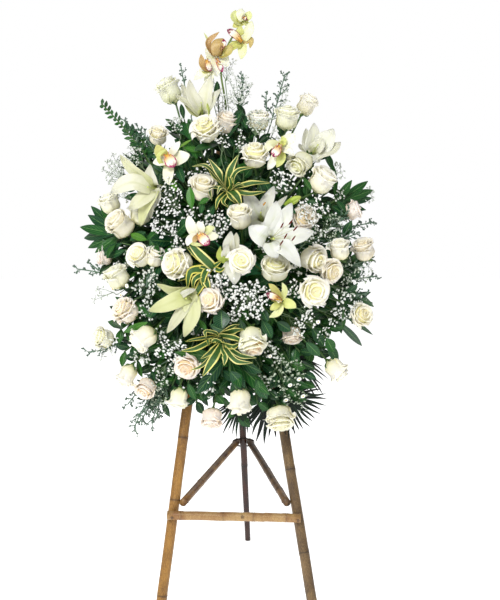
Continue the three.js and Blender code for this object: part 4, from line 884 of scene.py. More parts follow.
def add_roses():
    draw = Random(5)
    for name, heads in ROSE_BUNCHES.items():
        petals, green = Skins(), Skins()
        for head in heads:
            turn = draw.uniform(0, math.tau)
            rose_core(petals, head)
            for whorl in OPEN_WHORLS if head["open"] else BUD_WHORLS:
                turn += draw.uniform(0.5, 0.9)
                for i in range(whorl[0]):
                    rose_petal(petals, head, whorl, turn + i * math.tau / whorl[0], draw)
            rose_green(green, head, draw)
        rod = foam_rod(name, middle_of([head["neck"] for head in heads]))
        stems_of(green, rod, [[head["neck"], head["base"]] for head in heads], ROSE_STEM)
        petals.finish(f"{name}_petals", "rose_petal", 0.5, 0, [name])
        green.finish(f"{name}_greens", "stem", 0.8, 0)


# Lilies. A petal is a path of (px, py, how many millimetres nearer than the throat), its width
# in pixels and its tint. An anther is one such point, and dust is the tint of its pollen.

LILY_STEM = 3.2
# How much wider a petal is made than its trace, since it is seen folded
LILY_FULLNESS = 1.17
LILIES = {
    "lily_top": [{
        "px": 202, "py": 112, "look": [-0.05, -0.5, 0.85], "size": 0.85, "out": 6, "anthers": [], "dust": 1.0,
        "petals": [
            ([(200, 111, -6), (188, 97, -8), (181, 83, -14)], 11.2, 0.40),
            ([(201, 110, -4), (192, 95, -2), (189.5, 79.5, -8)], 12.3, 0.45),
            ([(203, 110, -4), (206, 92, -4), (211, 75.5, -10)], 15.1, 0.45),
            ([(206, 112, 0), (213, 98, 4), (222, 88, 0)], 12.9, 0.35),
            ([(200, 113, 4), (187, 103, 12), (175.5, 94, 8)], 11.8, 0.55),
            ([(200, 116, 8), (191, 110, 18), (183.5, 102.5, 14)], 14.6, 0.70),
            ([(208, 117, 10), (208.5, 110, 16), (207, 102.5, 14)], 9.5, 1.00),
        ],
    }],
    "lily_left": [{
        "px": 154, "py": 188, "look": [-0.45, -0.8, 0.05], "size": 1, "out": 10, "anthers": [], "dust": 0.9,
        "petals": [
            ([(153, 186, 2), (140, 176, 12), (129, 167, 10), (119.8, 154.5, 2)], 11, 0.63),
            ([(154, 186, 2), (149.5, 177, 12), (150, 164, 4)], 13, 0.38),
            ([(155, 188, 0), (158, 195, 8), (155, 208, 2)], 8, 0.43),
            ([(154, 190, 2), (150, 203, 14), (151, 219, 6)], 10, 0.48),
            ([(153, 190, 4), (145, 205, 18), (140.6, 226.5, 8)], 15, 0.73),
            ([(152, 189, 4), (140, 200, 22), (129, 209, 14)], 15.5, 0.58),
            ([(152, 188, 4), (134, 181.5, 22), (120, 186, 18), (110.5, 194, 6)], 15.5, 0.43),
        ],
    }],
    "lily_middle_right": [{
        "px": 261, "py": 218, "look": [-0.15, -0.85, 0.5], "size": 0.85, "out": -30,
        "anthers": [(264.3, 203.8, 26)], "dust": 0.5,
        "petals": [
            ([(259, 216, 2), (252, 204, 14), (244, 189.5, 6)], 15, 0.1),
            ([(262, 216, 2), (267, 202, 16), (274, 185.8, 6)], 14, 0.15),
            ([(264, 216, 0), (277, 206, 10), (287.5, 195.5, 4)], 7, 0.3),
            ([(258, 219, 2), (252, 221, 14), (245, 219, 8)], 11, 0.2),
            ([(260, 221, 2), (257, 230, 10), (255, 236, 4)], 10, 0.1),
            ([(263, 221, 0), (268, 229, 8), (272, 234, 0)], 10, 0.1),
        ],
    }, {
        "px": 270.6, "py": 239, "look": [0.1, -1, 0.05], "size": 1.15, "out": 20, "dust": 0.0,
        "anthers": [(290.7, 222.2, 48), (295.4, 228.6, 50), (285.6, 236.2, 52), (293.6, 238.3, 48),
                    (282, 225.5, 44), (281.5, 243, 40)],
        "petals": [
            ([(271, 237, 4), (274, 220, 22), (276.6, 200.6, 12)], 17, 0.05),
            ([(272.5, 237, 4), (283, 221, 20), (292, 202.6, 10)], 15.5, 0.05),
            ([(269, 238.5, 4), (259.5, 234, 24), (248.6, 226.2, 16)], 18.5, 0.0),
            ([(273, 239, 4), (295, 236, 24), (314.4, 231.4, 12)], 16, 0.05),
            ([(270, 241, 4), (272.5, 249.5, 24), (277.6, 258, 18)], 15, 0.0),
            ([(272.5, 241, 4), (287.5, 249, 26), (301, 267.2, 14)], 15.5, 0.0),
        ],
    }],
    "lily_top_right": [{
        "px": 313, "py": 153, "look": [0.3, -0.6, 0.7], "size": 0.85, "out": 0, "dust": 0.5, "anthers": [],
        "petals": [
            ([(312, 151, -4), (313.5, 138, -2), (314.3, 122.6, -8)], 15.5, 0.28),
            ([(311, 152, -2), (306.5, 141, 2), (306, 128, -2)], 12.8, 0.33),
            ([(315, 152, -2), (325, 141, 4), (333.6, 128.6, -4)], 20.2, 0.23),
            ([(310, 153, 2), (304, 149, 8), (298.6, 143.6, 4)], 11.5, 0.38),
            ([(316, 153, 2), (329, 150.5, 12), (341, 142, 4)], 16.2, 0.43),
            ([(314, 152, 6), (317.5, 156, 16), (319.4, 162.6, 10)], 18.2, 0.18),
            ([(314, 150, 2), (319, 145, 12), (323, 138, 10)], 12.2, 0.38),
        ],
    }],
    "lily_lower_left": [{
        "px": 191, "py": 294, "look": [-0.4, -0.85, -0.25], "size": 1, "out": 10, "dust": 0.9, "anthers": [],
        "petals": [
            ([(189, 292, 0), (173, 291.5, 8), (156.6, 283.8, 0)], 10, 0.75),
            ([(192, 294, 2), (195.5, 299, 10), (193, 306, 6)], 6.5, 0.70),
            ([(189, 298, 2), (178.5, 316, 14), (166.6, 333.4, 4)], 11, 0.60),
            ([(191, 297, 4), (192, 315, 20), (183.8, 337.4, 8)], 16.5, 0.70),
            ([(189, 294, 4), (170, 303, 24), (148.4, 311.2, 10)], 15, 0.75),
            ([(181, 296, 14), (188, 291.5, 20), (196, 289.2, 14)], 5.5, 0.35),
        ],
    }],
    "lily_middle": [{
        "px": 231, "py": 260, "look": [-0.3, -0.9, 0.15], "size": 0.9, "out": -8, "dust": 0.9, "anthers": [],
        "petals": [
            ([(230, 257, 0), (229, 244, 12), (231, 231, 4)], 12, 0.27),
            ([(232, 257, 2), (235, 244, 16), (236.5, 232.5, 8)], 9.5, 0.52),
            ([(228, 261, 0), (219.5, 257, 12), (220.5, 246, 4)], 7, 1.00),
            ([(229, 259, 4), (225.6, 254, 18), (228, 244, 12)], 9.5, 0.32),
            ([(230, 263, 2), (226, 270, 12), (223, 276, 6)], 9, 0.27),
            ([(232, 262, 6), (234, 273, 20), (234, 285, 12)], 14, 0.22),
        ],
    }],
}
LILY_BUD = {"px": 292, "py": 201.5, "long": 50, "across": 20, "look": [0.8, -0.3, 0.45], "out": -26}


def lily_head(row):
    throat = on_dome(row["px"], row["py"], row["out"])
    look = Vector(row["look"]).normalized()
    base = throat - look * (30 * row["size"])
    return {**row, "throat": throat, "look": look, "base": base, "neck": base - look * NECK}


def lily_petals(skins, head, draw):
    throat, look, size, base = head["throat"], head["look"], head["size"], head["base"]
    for path, wide, tint in head["petals"]:
        points = traced(path, throat)
        out = points[-1] - throat
        flat = (out - look * out.dot(look)).normalized()
        foot = base.lerp(throat, 0.55) + flat * (6 * size)
        skins.blade(
            spline([base + flat * 3, foot, *points]), look.cross(flat).normalized(),
            wide * PIXEL * LILY_FULLNESS, tint, fullest=0.62, peak=0.58, fold=0.3, columns=6, rows=12,
            wave=0.2, waves=2.8, phase=draw.uniform(0, math.tau), start=20 * size,
        )


def lily_stamens(petals, pollen, head, draw):
    throat, look, size = head["throat"], head["look"], head["size"]
    side, up = square_to(look)
    ends = traced(head["anthers"], throat)
    for end in ends:
        curve = bezier(throat - look * 10, throat + look * 26 + (end - throat) * 0.3, end)
        petals.bar(samples(curve, 5), 0.75, 5, 0.6)
        way = (up + side * draw.uniform(0.5, 0.9)).normalized() * (6.2 * size)
        points = [end - way, end - way * 0.5, end + way * 0.5, end + way]
        pollen.bar(points, [0.8, 1.8, 1.8, 0.8], 6, head["dust"])
    for i in range(0 if len(ends) > 3 else 5):
        angle = i * math.tau / 5 + draw.uniform(-0.2, 0.2)
        out = around(side, up, angle)
        end = throat + look * (draw.uniform(14, 22) * size) + out * (draw.uniform(5, 9) * size)
        curve = bezier(throat - look * 12 + out * 2, throat + look * 6 + out * 2, end)
        petals.bar(samples(curve, 4), 0.8, 5, 0.8)
    curve = bezier(throat - look * 12, throat + look * 16, throat + look * (30 * size) + side * 3)
    petals.bar(samples(curve, 4), 1.2, 6, 0.9)
    petals.ball(curve(1), 2.2, 1.0, 2, 0.7, look)


def lily_bud(petals, green, rod):
    way = Vector(LILY_BUD["look"]).normalized()
    middle = on_dome(LILY_BUD["px"], LILY_BUD["py"], LILY_BUD["out"])
    long, half = LILY_BUD["long"], LILY_BUD["across"] / 2
    side, up = square_to(way)
    shape = [(-0.5, 0.25), (-0.35, 0.6), (-0.1, 0.9), (0.15, 1.0), (0.33, 0.72), (0.46, 0.3), (0.5, 0.1)]

    def spot(u, v):
        row = round(v * (len(shape) + 1))
        at, share = shape[min(max(row - 1, 0), len(shape) - 1)]
        if row in (0, len(shape) + 1):
            share = 0
        angle = u * math.pi
        out = share * half * (1 + 0.07 * math.cos(3 * angle))
        return middle + way * (at * long) + side * (math.cos(angle) * out) + up * (math.sin(angle) * out)

    petals.grid(18, len(shape) + 1, spot, 1.0)
    green.bar(samples(spline([rod["fork"], middle - way * long * 0.7, middle - way * long * 0.45]), 8),
              2.6, 6, 0.7)


def add_lilies():
    draw = Random(9)
    for name, rows in LILIES.items():
        heads = [lily_head(row) for row in rows]
        petals, pollen, green = Skins(), Skins(), Skins()
        rod = foam_rod(name, middle_of([head["neck"] for head in heads]))
        for head in heads:
            lily_petals(petals, head, draw)
            lily_stamens(petals, pollen, head, draw)
        if len(heads) > 1:
            lily_bud(petals, green, rod)
            pollen.finish(f"{name}_anthers", "lily_anther", rounds=0)
        stems_of(green, rod, [[head["neck"], head["base"] + head["look"] * 3] for head in heads], LILY_STEM)
        petals.finish(f"{name}_petals", "lily_petal", 0.8, 1, [name])
        green.finish(f"{name}_greens", "stem", rounds=1)


# Orchids. A petal or lip is a path of (px, py, how many millimetres nearer than the heart), its
# width in pixels, its tint, and how deep it is cupped.

ORCHIDS = {
    "orchid_left": {
        "px": 169, "py": 159, "look": [-0.2, -0.9, 0.3], "out": 16, "column": [0.1, 0.5],
        "petals": [
            ([(166, 160, 2), (160, 161, 8), (152.6, 163, 6)], 11.5, 0.04, 0.3),
            ([(166, 157, -4), (160, 152, 0), (156.6, 144.5, -6)], 13, 0.62, 0.35),
            ([(171, 154, 0), (175, 148, 6), (180, 141, 2)], 9, 0.0, 0.3),
            ([(173, 160, 0), (181, 157, 10), (190, 154.5, 6)], 16, 0.12, 0.35),
            ([(169, 165, 0), (168, 175, 8), (168.5, 185, 4)], 12.5, 0.16, 0.3),
            ([(163, 165, 6), (158, 156, 12), (167, 148.5, 8)], 5, 0.5, 0.2),
        ],
        "lip": ([(167.5, 155.5, 6), (169, 159, 17), (171.5, 163, 21), (174, 167.5, 15)], 13, 0.0),
    },
    "orchid_upper_right": {
        "px": 279, "py": 149, "look": [0.1, -0.9, 0.35], "out": 18, "column": [-0.1, 0.5],
        "petals": [
            ([(278, 145, 0), (270, 144, 8), (264.5, 154, 8)], 10, 0.28, 0.3),
            ([(281, 146, -2), (288, 140, 4), (295, 133.5, -2)], 14, 0.14, 0.35),
            ([(281, 145, 0), (284, 141, 8), (281.5, 136, 4)], 7, 0.5, 0.3),
            ([(283, 149, 0), (288, 150, 8), (294, 155.5, 2)], 9, 0.0, 0.3),
            ([(281, 152, 0), (281, 159, 8), (276.5, 167.5, 4)], 10, 0.5, 0.35),
            ([(276, 154, -2), (272, 163, 4), (267.5, 170, 2)], 9, 0.04, 0.3),
        ],
        "lip": ([(279.5, 145.5, 6), (277.5, 149.5, 18), (275, 153, 22), (273, 157, 16)], 10, 0.35),
    },
    "orchid_middle": {
        "px": 200, "py": 236, "look": [-0.15, -0.95, 0.2], "out": 24, "column": [0.2, 0.3],
        "petals": [
            ([(195, 234, -2), (190.5, 225, 4), (188.5, 215, 2)], 11, 0.06, 0.35),
            ([(195, 235, 0), (189, 240, 6), (187, 246, 2)], 8, 0.0, 0.3),
            ([(199, 233, -2), (200, 227, 4), (198, 221, 0)], 11, 0.05, 0.3),
            ([(204, 236, 0), (212, 236, 4), (219, 236, 0)], 10, 0.2, 0.3),
            ([(203, 234, -2), (209, 229, 2), (215, 227, -2)], 8, 0.4, 0.3),
            ([(191, 243, 6), (197, 244.5, 10), (204, 245, 8)], 4, 0.42, 0.2),
            ([(198, 236, 2), (195, 239, 8), (194, 244, 8)], 6, 0.95, 0.3),
        ],
        "lip": ([(200, 234, 6), (202, 237.5, 16), (205.5, 241, 21), (210, 244, 16)], 11, 0.2),
    },
    "orchid_lower_right": {
        "px": 281, "py": 301.5, "look": [-0.3, -0.9, -0.1], "out": 22, "column": [-0.5, 0.2],
        "petals": [
            ([(280, 300, -2), (275, 290, 8), (268.6, 283.6, 4)], 8.5, 0.66, 0.35),
            ([(281.5, 299, -2), (285, 290.5, 4), (282, 282.4, 2)], 7, 0.42, 0.3),
            ([(283, 302.5, -2), (290, 304, 6), (296.2, 308, 2)], 11, 0.48, 0.3),
            ([(280.5, 304.5, -2), (278.5, 312, 6), (269, 317.5, 6)], 8.5, 0.4, 0.3),
            ([(279, 303, 0), (274, 307, 6), (270, 310, 2)], 7, 0.55, 0.3),
        ],
        "lip": ([(280.5, 300.5, 6), (275.5, 297.5, 16), (270.5, 295.5, 20), (265.8, 293.6, 12)], 8, 1.0),
    },
}
ORCHID_SPIKE = {
    "stem": [[226, 112, -46], [224, 93, -36], [221, 74, -26], [223, 57, -16], [230, 41, -12], [239, 27, -10]],
    "blooms": [
        {"from": 5, "px": 243, "py": 19, "look": [0.2, -0.8, 0.45], "out": -2, "column": [0.2, 0.2],
         "petals": [
             ([(242, 22, 0), (235.5, 18, 8), (235.5, 10, 4)], 14.3, 0.42, 0.35),
             ([(243, 20, 2), (241, 14, 12), (242.5, 8.5, 8)], 13.0, 0.2, 0.3),
             ([(244, 20, -2), (248, 16, 4), (250, 11, 0)], 10.4, 0.42, 0.3),
             ([(242, 22, 0), (237, 24, 8), (232.5, 27, 4)], 10.4, 0.62, 0.3),
             ([(244, 22, 0), (247, 24, 6), (249, 27, 2)], 7.8, 0.4, 0.3),
         ],
         "lip": ([(242.5, 17.5, 6), (244, 17.5, 14), (246, 18.6, 16), (247.6, 20, 12)], 6, 0.9)},
        {"from": 4, "px": 242, "py": 41, "look": [-0.35, -0.85, 0.2], "out": 12, "column": [-0.5, 0.4],
         "petals": [
             ([(243, 39, -2), (248.5, 31, 6), (251.5, 20.5, 2)], 13.7, 0.26, 0.35),
             ([(241, 38, -2), (239.5, 32, 2), (241, 25.5, -2)], 10.4, 0.56, 0.3),
             ([(242, 43, -2), (242.6, 51, 6), (241, 59.6, 4)], 11.7, 0.34, 0.3),
             ([(244, 42, -2), (251, 39.5, 4), (250, 48.5, 6)], 8.5, 0.86, 0.35),
             ([(241, 43, -2), (232, 46.5, 4), (222, 56, 2)], 11.1, 0.58, 0.35),
         ],
         "lip": ([(241, 41, 6), (237, 36.5, 15), (232, 32.5, 18), (227, 29.4, 12)], 8.5, 0.8)},
        {"from": 3, "px": 220, "py": 53, "look": [0.3, -0.7, 0.5], "out": 6, "column": [0.3, 0.7],
         "petals": [
             ([(216, 56, 0), (207.5, 43, 6), (219.5, 31.8, 2)], 8.5, 1.0, 0.4),
             ([(218, 55, 4), (217.5, 46, 12), (224, 38.5, 8)], 16.9, 0.93, 0.45),
             ([(221, 55, 2), (227, 51, 10), (232, 44.5, 4)], 13.0, 0.76, 0.4),
             ([(214, 50, -6), (208, 40, -6), (203.8, 32.4, -6)], 3.9, 0.4, 0.2),
             ([(216, 54, -6), (210, 54, -6), (207, 61, -6)], 9.1, 0.12, 0.3),
         ],
         "lip": ([(220, 51, 8), (222, 46.5, 15), (224, 42.5, 16), (224, 39, 12)], 6, 0.7)},
        {"from": 3, "px": 216, "py": 58, "look": [0.1, -0.8, 0.3], "out": 2, "column": [0, 0.3],
         "petals": [
             ([(215.5, 60, 2), (216, 67, 10), (217, 77, 6)], 14.3, 0.03, 0.3),
             ([(218, 59, 0), (224, 60, 6), (228, 67, 2)], 13.7, 0.08, 0.3),
             ([(213, 57, -2), (209, 54, 0), (206, 48, -4)], 9.1, 0.12, 0.3),
         ],
         "lip": ([(217, 60, 4), (219, 64, 8), (221, 68, 9), (222.5, 72, 6)], 7, 0.2)},
        {"from": 2, "px": 212, "py": 69, "look": [-0.15, -0.85, 0.4], "out": 8, "column": [-0.2, 0.5],
         "petals": [
             ([(210, 69, 0), (203, 65, 8), (201, 54, 4)], 9.8, 0.97, 0.4),
             ([(210, 70, 0), (202, 73, 6), (193.8, 80, 4)], 12.3, 0.1, 0.3),
             ([(211, 72, 0), (208.5, 79, 4), (205, 85, 2)], 11.1, 0.05, 0.3),
             ([(209, 70, -2), (205, 71, 2), (201.5, 71, 0)], 7.8, 0.6, 0.3),
         ],
         "lip": ([(207, 60, 4), (208, 64, 12), (209.5, 68, 14), (211.5, 71, 10)], 7, 0.5)},
    ],
}


def orchid_head(row):
    heart = on_dome(row["px"], row["py"], row["out"])
    look = Vector(row["look"]).normalized()
    return {**row, "heart": heart, "look": look, "neck": heart - look * 26, "back": heart - look * 6}


def orchid_bloom(petals, lips, head, draw):
    heart, look = head["heart"], head["look"]
    turned = showing(look)
    for path, wide, tint, cup in head["petals"]:
        points = traced(path, heart)
        foot = heart.lerp(points[0], 0.5) - look * 2
        petals.blade(
            spline([foot, *points]), turned, wide * PIXEL, tint, fullest=0.58, peak=0.62, fold=cup,
            columns=6, rows=9, wave=0.05, phase=draw.uniform(0, 6), start=wide * 0.5,
        )
    path, wide, tint = head["lip"]
    points = traced(path, heart)
    lips.blade(spline([heart, *points]), turned, wide * PIXEL, tint, fullest=0.66, peak=0.55, fold=0.5,
               columns=8, rows=12, wave=0.16, waves=4, start=wide)
    run = (points[-1] - points[0]).normalized()
    wing = look.cross(run).normalized()
    for way in (1, -1):
        out = wing * (way * wide * 0.42)
        curve = spline([points[0] - look * 3, points[0] + out + look * 3, points[1] + out * 0.9 + look * 4])
        lips.blade(curve, run, wide * PIXEL * 0.5, tint, fullest=0.55, peak=0.6, fold=0.3, rows=6,
                   start=wide * 0.4)
    aside, rise = head["column"]
    tip = heart + look * 13 + Vector((aside * 6, 0, rise * 6))
    column = bezier(heart, heart.lerp(tip, 0.5) + Vector((0, 0, 2.5)), tip)
    petals.bar(samples(column, 5), [4.0, 3.4, 3.2, 3.4, 3.6, 2.4], 8, 0.22)


def add_orchids():
    draw = Random(21)
    petals, lips, green = Skins(), Skins(), Skins()
    stem = [on_dome(*row) for row in ORCHID_SPIKE["stem"]]
    for row in ORCHID_SPIKE["blooms"]:
        head = orchid_head(row)
        orchid_bloom(petals, lips, head, draw)
        curve = bezier(stem[head["from"]], head["heart"] - head["look"] * 16, head["back"])
        green.bar(samples(curve, 5), [2.0, 1.8, 1.8, 2.0, 2.6, 3.4], 6, 0.8)
    stems_of(green, foam_rod("orchid_spike", stem[0]), [stem], 3.0, 0.75)
    petals.finish("orchid_spike_petals", "orchid_petal", 0.9, 1, ["orchid_spike"])
    lips.finish("orchid_spike_lips", "orchid_lip", 0.8, 1)
    green.finish("orchid_spike_stem", "stem", rounds=1)
    for name, row in ORCHIDS.items():
        petals, lips, green = Skins(), Skins(), Skins()
        head = orchid_head(row)
        orchid_bloom(petals, lips, head, draw)
        stems_of(green, foam_rod(name, head["neck"]), [[head["neck"], head["back"] + head["look"] * 5]], 2.6)
        petals.finish(f"{name}_petals", "orchid_petal", 0.9, 1, [name])
        lips.finish(f"{name}_lip", "orchid_lip", 0.8, 1)
        green.finish(f"{name}_stem", "stem", rounds=1)


# Striped rosettes. A blade is a path of (px, py, how many millimetres nearer than the heart),
# and its width in pixels.

ROSETTES = {
    "striped_leaves_top": {
        "px": 228, "py": 188, "out": 0,
        "blades": [
            ([(225, 187, -6), (214, 176, 12), (208, 166, 4)], 6),
            ([(224, 186, -4), (207, 166, 26), (191.5, 166.5, 10)], 6),
            ([(228, 187, -8), (230, 171, 12), (238.4, 154.6, 2)], 9.5),
            ([(226, 189, 0), (219.5, 174, 26), (208.6, 158.4, 8)], 9.5),
            ([(230.5, 188, 0), (236, 171, 22), (256, 167, 12)], 7.5),
            ([(230, 189, 0), (250, 183, 22), (270.6, 182.8, 8)], 9.5),
            ([(231, 191, 4), (249, 193.5, 24), (266, 191.5, 10)], 8.5),
            ([(226, 190, 4), (210, 187, 20), (212, 201, 12)], 6),
            ([(226, 192, 4), (218, 200, 18), (216, 210, 10)], 5.5),
            ([(228, 193, 2), (223, 202, 20), (231, 208.5, 14)], 5),
            ([(230, 190, 8), (237, 196, 28), (241.8, 207.4, 20)], 10),
            ([(228, 191, 6), (231, 198, 24), (237.6, 204.8, 16)], 5.5),
            ([(226, 190, 8), (220.5, 187, 28), (217, 195, 22)], 5.5),
            ([(231, 190, 6), (238, 183.6, 26), (246, 186.4, 18)], 5),
            ([(229, 188, 10), (231, 182, 26), (228, 176, 24)], 5),
        ],
    },
    "striped_leaves_middle": {
        "px": 212, "py": 268, "out": -8,
        "blades": [
            ([(212, 267, -4), (197, 256, 10), (186.4, 246.5, 2)], 7),
            ([(213, 267, 0), (199.5, 254, 20), (186, 239.4, 8)], 10.5),
            ([(208, 268, 0), (200, 266.5, 14), (193, 266.5, 6)], 4),
            ([(207, 271, 0), (191, 274, 12), (177, 281.5, 2)], 8),
            ([(207, 270, 4), (190.5, 271, 24), (187.4, 289.5, 10)], 8.5),
            ([(206, 273, 8), (194.5, 279, 26), (193, 290.5, 12)], 6),
            ([(207, 269, 6), (203, 278, 20), (203.5, 289, 10)], 7),
            ([(205, 277, 4), (198, 290, 16), (191, 301.5, 6)], 8),
            ([(205, 276, 8), (207, 284, 20), (210, 291.5, 12)], 7.5),
            ([(213, 267, 0), (217, 264, 12), (221.5, 261, 4)], 4.5),
            ([(214, 268, 0), (220, 270, 14), (225, 267, 4)], 5),
        ],
    },
    "striped_leaves_low": {
        "px": 221, "py": 345, "out": 4,
        "blades": [
            ([(216, 336, -8), (197, 339, 6), (185, 341.5, -2)], 5),
            ([(216, 338, -2), (196, 348.5, 18), (181, 351, 6)], 7.5),
            ([(222, 334, -6), (232, 327, 12), (240, 324.4, 2)], 6),
            ([(222, 335, -4), (234, 331, 16), (243.6, 329.5, 4)], 9),
            ([(218, 348, 0), (203, 365, 14), (189.6, 370.4, 4)], 5),
            ([(218, 344, 4), (211, 352, 20), (200.6, 359, 8)], 7.5),
            ([(220, 348, 6), (212, 361, 24), (202.6, 376.4, 10)], 10.5),
            ([(225, 348, 4), (236, 361, 24), (253.4, 363, 8)], 8.5),
            ([(226, 346, 2), (240, 355.5, 22), (257, 358, 6)], 8),
            ([(221, 336, 0), (233, 337.5, 20), (248.4, 343.6, 8)], 8.5),
            ([(223, 344, 4), (233, 347, 20), (241.4, 342, 10)], 8),
            ([(222, 350, 8), (225, 357, 20), (224, 365.6, 12)], 7),
            ([(216, 333, 0), (205.5, 331, 16), (206, 338, 8)], 5),
            ([(216, 342, 2), (208, 339.5, 16), (209, 346, 8)], 5),
            ([(217, 345, 4), (211.5, 349, 16), (208.6, 354.6, 8)], 4.5),
            ([(220, 343, 4), (215.5, 340, 18), (211.5, 342.4, 10)], 7),
        ],
    },
}


def add_rosettes():
    draw = Random(33)
    for name, row in ROSETTES.items():
        heart = on_dome(row["px"], row["py"], row["out"])
        look = facing(heart)
        turned = showing(look)
        skins, green = Skins(), Skins()
        for i, (path, wide) in enumerate(row["blades"]):
            points = traced(path, heart)
            foot = heart.lerp(points[0], 0.4) - look * (24 - 20 * i / len(row["blades"]))
            skins.blade(
                spline([foot, *points]), turned, wide * PIXEL, draw.random(), fullest=0.52, peak=0.75,
                fold=0.3, columns=4, rows=14, wave=0.1, phase=draw.uniform(0, 6), start=8,
            )
        stems_of(green, foam_rod(name, heart - look * 30), [[heart - look * 30, heart]], 3.0)
        skins.finish(f"{name}_blades", "striped_leaf", 0.7, 1, [name])
        green.finish(f"{name}_stem", "stem", rounds=1)


# Broad leaves

LEAF_SPRAYS = {
    "dark_leaves_left": [{
        "wide": 25, "foot": [125, 236, -46],
        "tips": [
            [91, 206, 0], [88, 215, 10], [80, 227, 4], [88, 248, 6], [95, 253, 16], [107, 259, 18],
            [100, 196, -14], [84, 238, -16],
        ],
    }],
    "dark_leaves_right": [{
        "wide": 22, "foot": [330, 208, -50],
        "tips": [[352, 180, 0], [368, 181, 6], [372, 198, 4], [366, 210, 12], [330, 158, -30],
                 [373, 190, -14]],
    }, {
        "wide": 20, "foot": [337, 300, -46],
        "tips": [[358, 283, 4], [371, 292, 6], [373, 303, 0], [362, 330, 0], [342, 330, 8]],
    }],
    "broad_leaves_upper": [{
        "wide": 34, "foot": [177, 242, -62],
        "tips": [[150, 240, 20], [163, 262, 22], [146, 288, 0], [190, 219, 24]],
    }, {
        "wide": 32, "foot": [222, 150, -70],
        "tips": [[187, 122, 4], [243, 110, 10], [194, 151, 20]],
    }],
    "broad_leaves_low": [{
        "wide": 36, "foot": [228, 350, -60],
        "tips": [[221, 314, -10], [241, 388, 18], [270, 395, 10], [196, 394, 4], [262, 372, 26],
                 [175, 352, 10]],
    }],
}
LEAFY_STEMS = [
    {"stem": [[158, 175, -60], [136, 138, -26], [101, 103, -6]], "leaves": 30, "long": 20, "wide": 10},
    {"stem": [[165, 165, -60], [150, 145, -40], [126, 128, -20]], "leaves": 16, "long": 24, "wide": 14},
]


# Single broad leaves between the blooms: the foot's px and py, the tip's, millimetres out of the
# dome, the width in pixels and the tint. Dark is 0, teal 0.25, fresh green 0.75.
SINGLE_LEAVES = [
    (177, 165, 184, 183, 0, 9, 0.25), (192, 209, 189.6, 186.5, 6, 9.5, 0.72),
    (199, 204, 209.4, 198, 10, 6.5, 0.6), (203, 203, 201, 214, 8, 6, 0.35),
    (183, 147.5, 200.5, 152.5, -6, 7, 0.7), (179, 148, 192, 139.6, -4, 4, 1.0),
    (221, 310, 222, 328.5, 6, 18, 0.2), (199, 319.5, 207, 330.5, 0, 6, 0.6),
    (210, 325, 225, 331, 4, 9, 0.3), (230, 371, 245, 388, 0, 14, 0.25), (256, 379, 267, 399, -4, 13, 0.3),
    (150, 238, 160, 258, 0, 11, 0.45), (186, 123, 192, 141, -16, 11, 0.4), (238, 110, 247, 129, -14, 11, 0.3),
    (192, 145, 197, 159, -8, 8, 0.5), (324, 150, 332, 170, -18, 11, 0.4), (303, 177, 311, 191, -6, 8, 0.5),
    (336, 200, 346, 213, -14, 10, 0.35), (188, 383, 196, 400, -10, 10, 0.4),
    (327, 343, 338, 362, -8, 11, 0.35),
    (261, 178, 274, 198, -14, 11, 0.2), (147, 240, 160, 230, -8, 9, 0.5), (130, 240, 146, 232, -14, 9, 0.3),
    (160, 300, 150, 318, -14, 10, 0.3), (205, 318, 195, 334, -10, 10, 0.2),
    (262, 320, 272, 338, -12, 11, 0.3),
    (306, 342, 320, 356, -12, 11, 0.35), (176, 306, 166, 296, -20, 8, 0.5), (282, 205, 296, 214, -30, 9, 0.3),
    (240, 320, 246, 340, -8, 10, 0.15), (214, 205, 206, 222, -10, 9, 0.3), (172, 178, 176, 192, -8, 7, 0.85),
    (218, 101, 217, 81, -8, 7, 0.1), (314, 160, 330, 153, -8, 8, 0.15),
    (192, 137, 176, 124, -16, 14, 0.3), (184, 119, 181, 104, -20, 6, 0.1), (195, 130, 188, 119, -20, 8, 0.45),
    (240, 134, 237, 110, -20, 14, 0.1), (140, 146, 130, 143, -30, 8, 0.2), (141, 140, 132, 131, -30, 8, 0.25),
    (232, 382, 241, 396, 2, 13, 0.1), (262, 398, 258, 380, -6, 11, 0.45), (277, 322, 291, 331, -10, 11, 0.2),
    (130, 234, 147, 240, -10, 8, 0.8), (312, 328, 324, 346, -10, 12, 0.1), (326, 338, 334, 352, 0, 12, 0.45),
    (122, 243, 100, 256, -6, 9, 0.2), (125, 250, 108, 258, -10, 8, 0.3), (133, 300, 152, 318, -10, 9, 0.45),
    (124, 332, 148, 322, 2, 8, 0.75), (112, 322, 124, 328, -14, 7, 0.1), (150, 274, 162, 290, -22, 9, 0.2),
    (344, 288, 374, 307, -10, 8, 0.5), (336, 320, 362, 346, -10, 8, 0.2), (342, 314, 373, 335, -16, 5, 0.25),
    (332, 206, 347, 216, -16, 12, 0.15), (233, 196, 226, 210, -10, 8, 0.3), (260, 306, 268, 322, -14, 9, 0.2),
]


def add_single_leaves():
    draw = Random(44)
    leaves, green = Skins(), Skins()
    for foot_px, foot_py, tip_px, tip_py, out, wide, tint in SINGLE_LEAVES:
        foot, tip = on_dome(foot_px, foot_py, out - 6), on_dome(tip_px, tip_py, out + 4)
        face = (facing(tip) + Vector((draw.uniform(-0.3, 0.3), -0.8, draw.uniform(-0.2, 0.4)))).normalized()
        leaves.leaf(foot, tip, face, wide * PIXEL, 0.1, tint=tint, fullest=0.5, peak=0.75, fold=0.22,
                    rows=7, columns=4, wave=0.05, phase=draw.uniform(0, 6), start=2.4)
        core = foam_core(foot)
        green.bar(samples(spline([core, core.lerp(foot, 0.6), foot]), 5), 1.6, 6, 0.4)
    leaves.finish("single_leaves", "leaf", 0.7, 1)
    green.finish("single_leaf_stems", "stem", rounds=0)


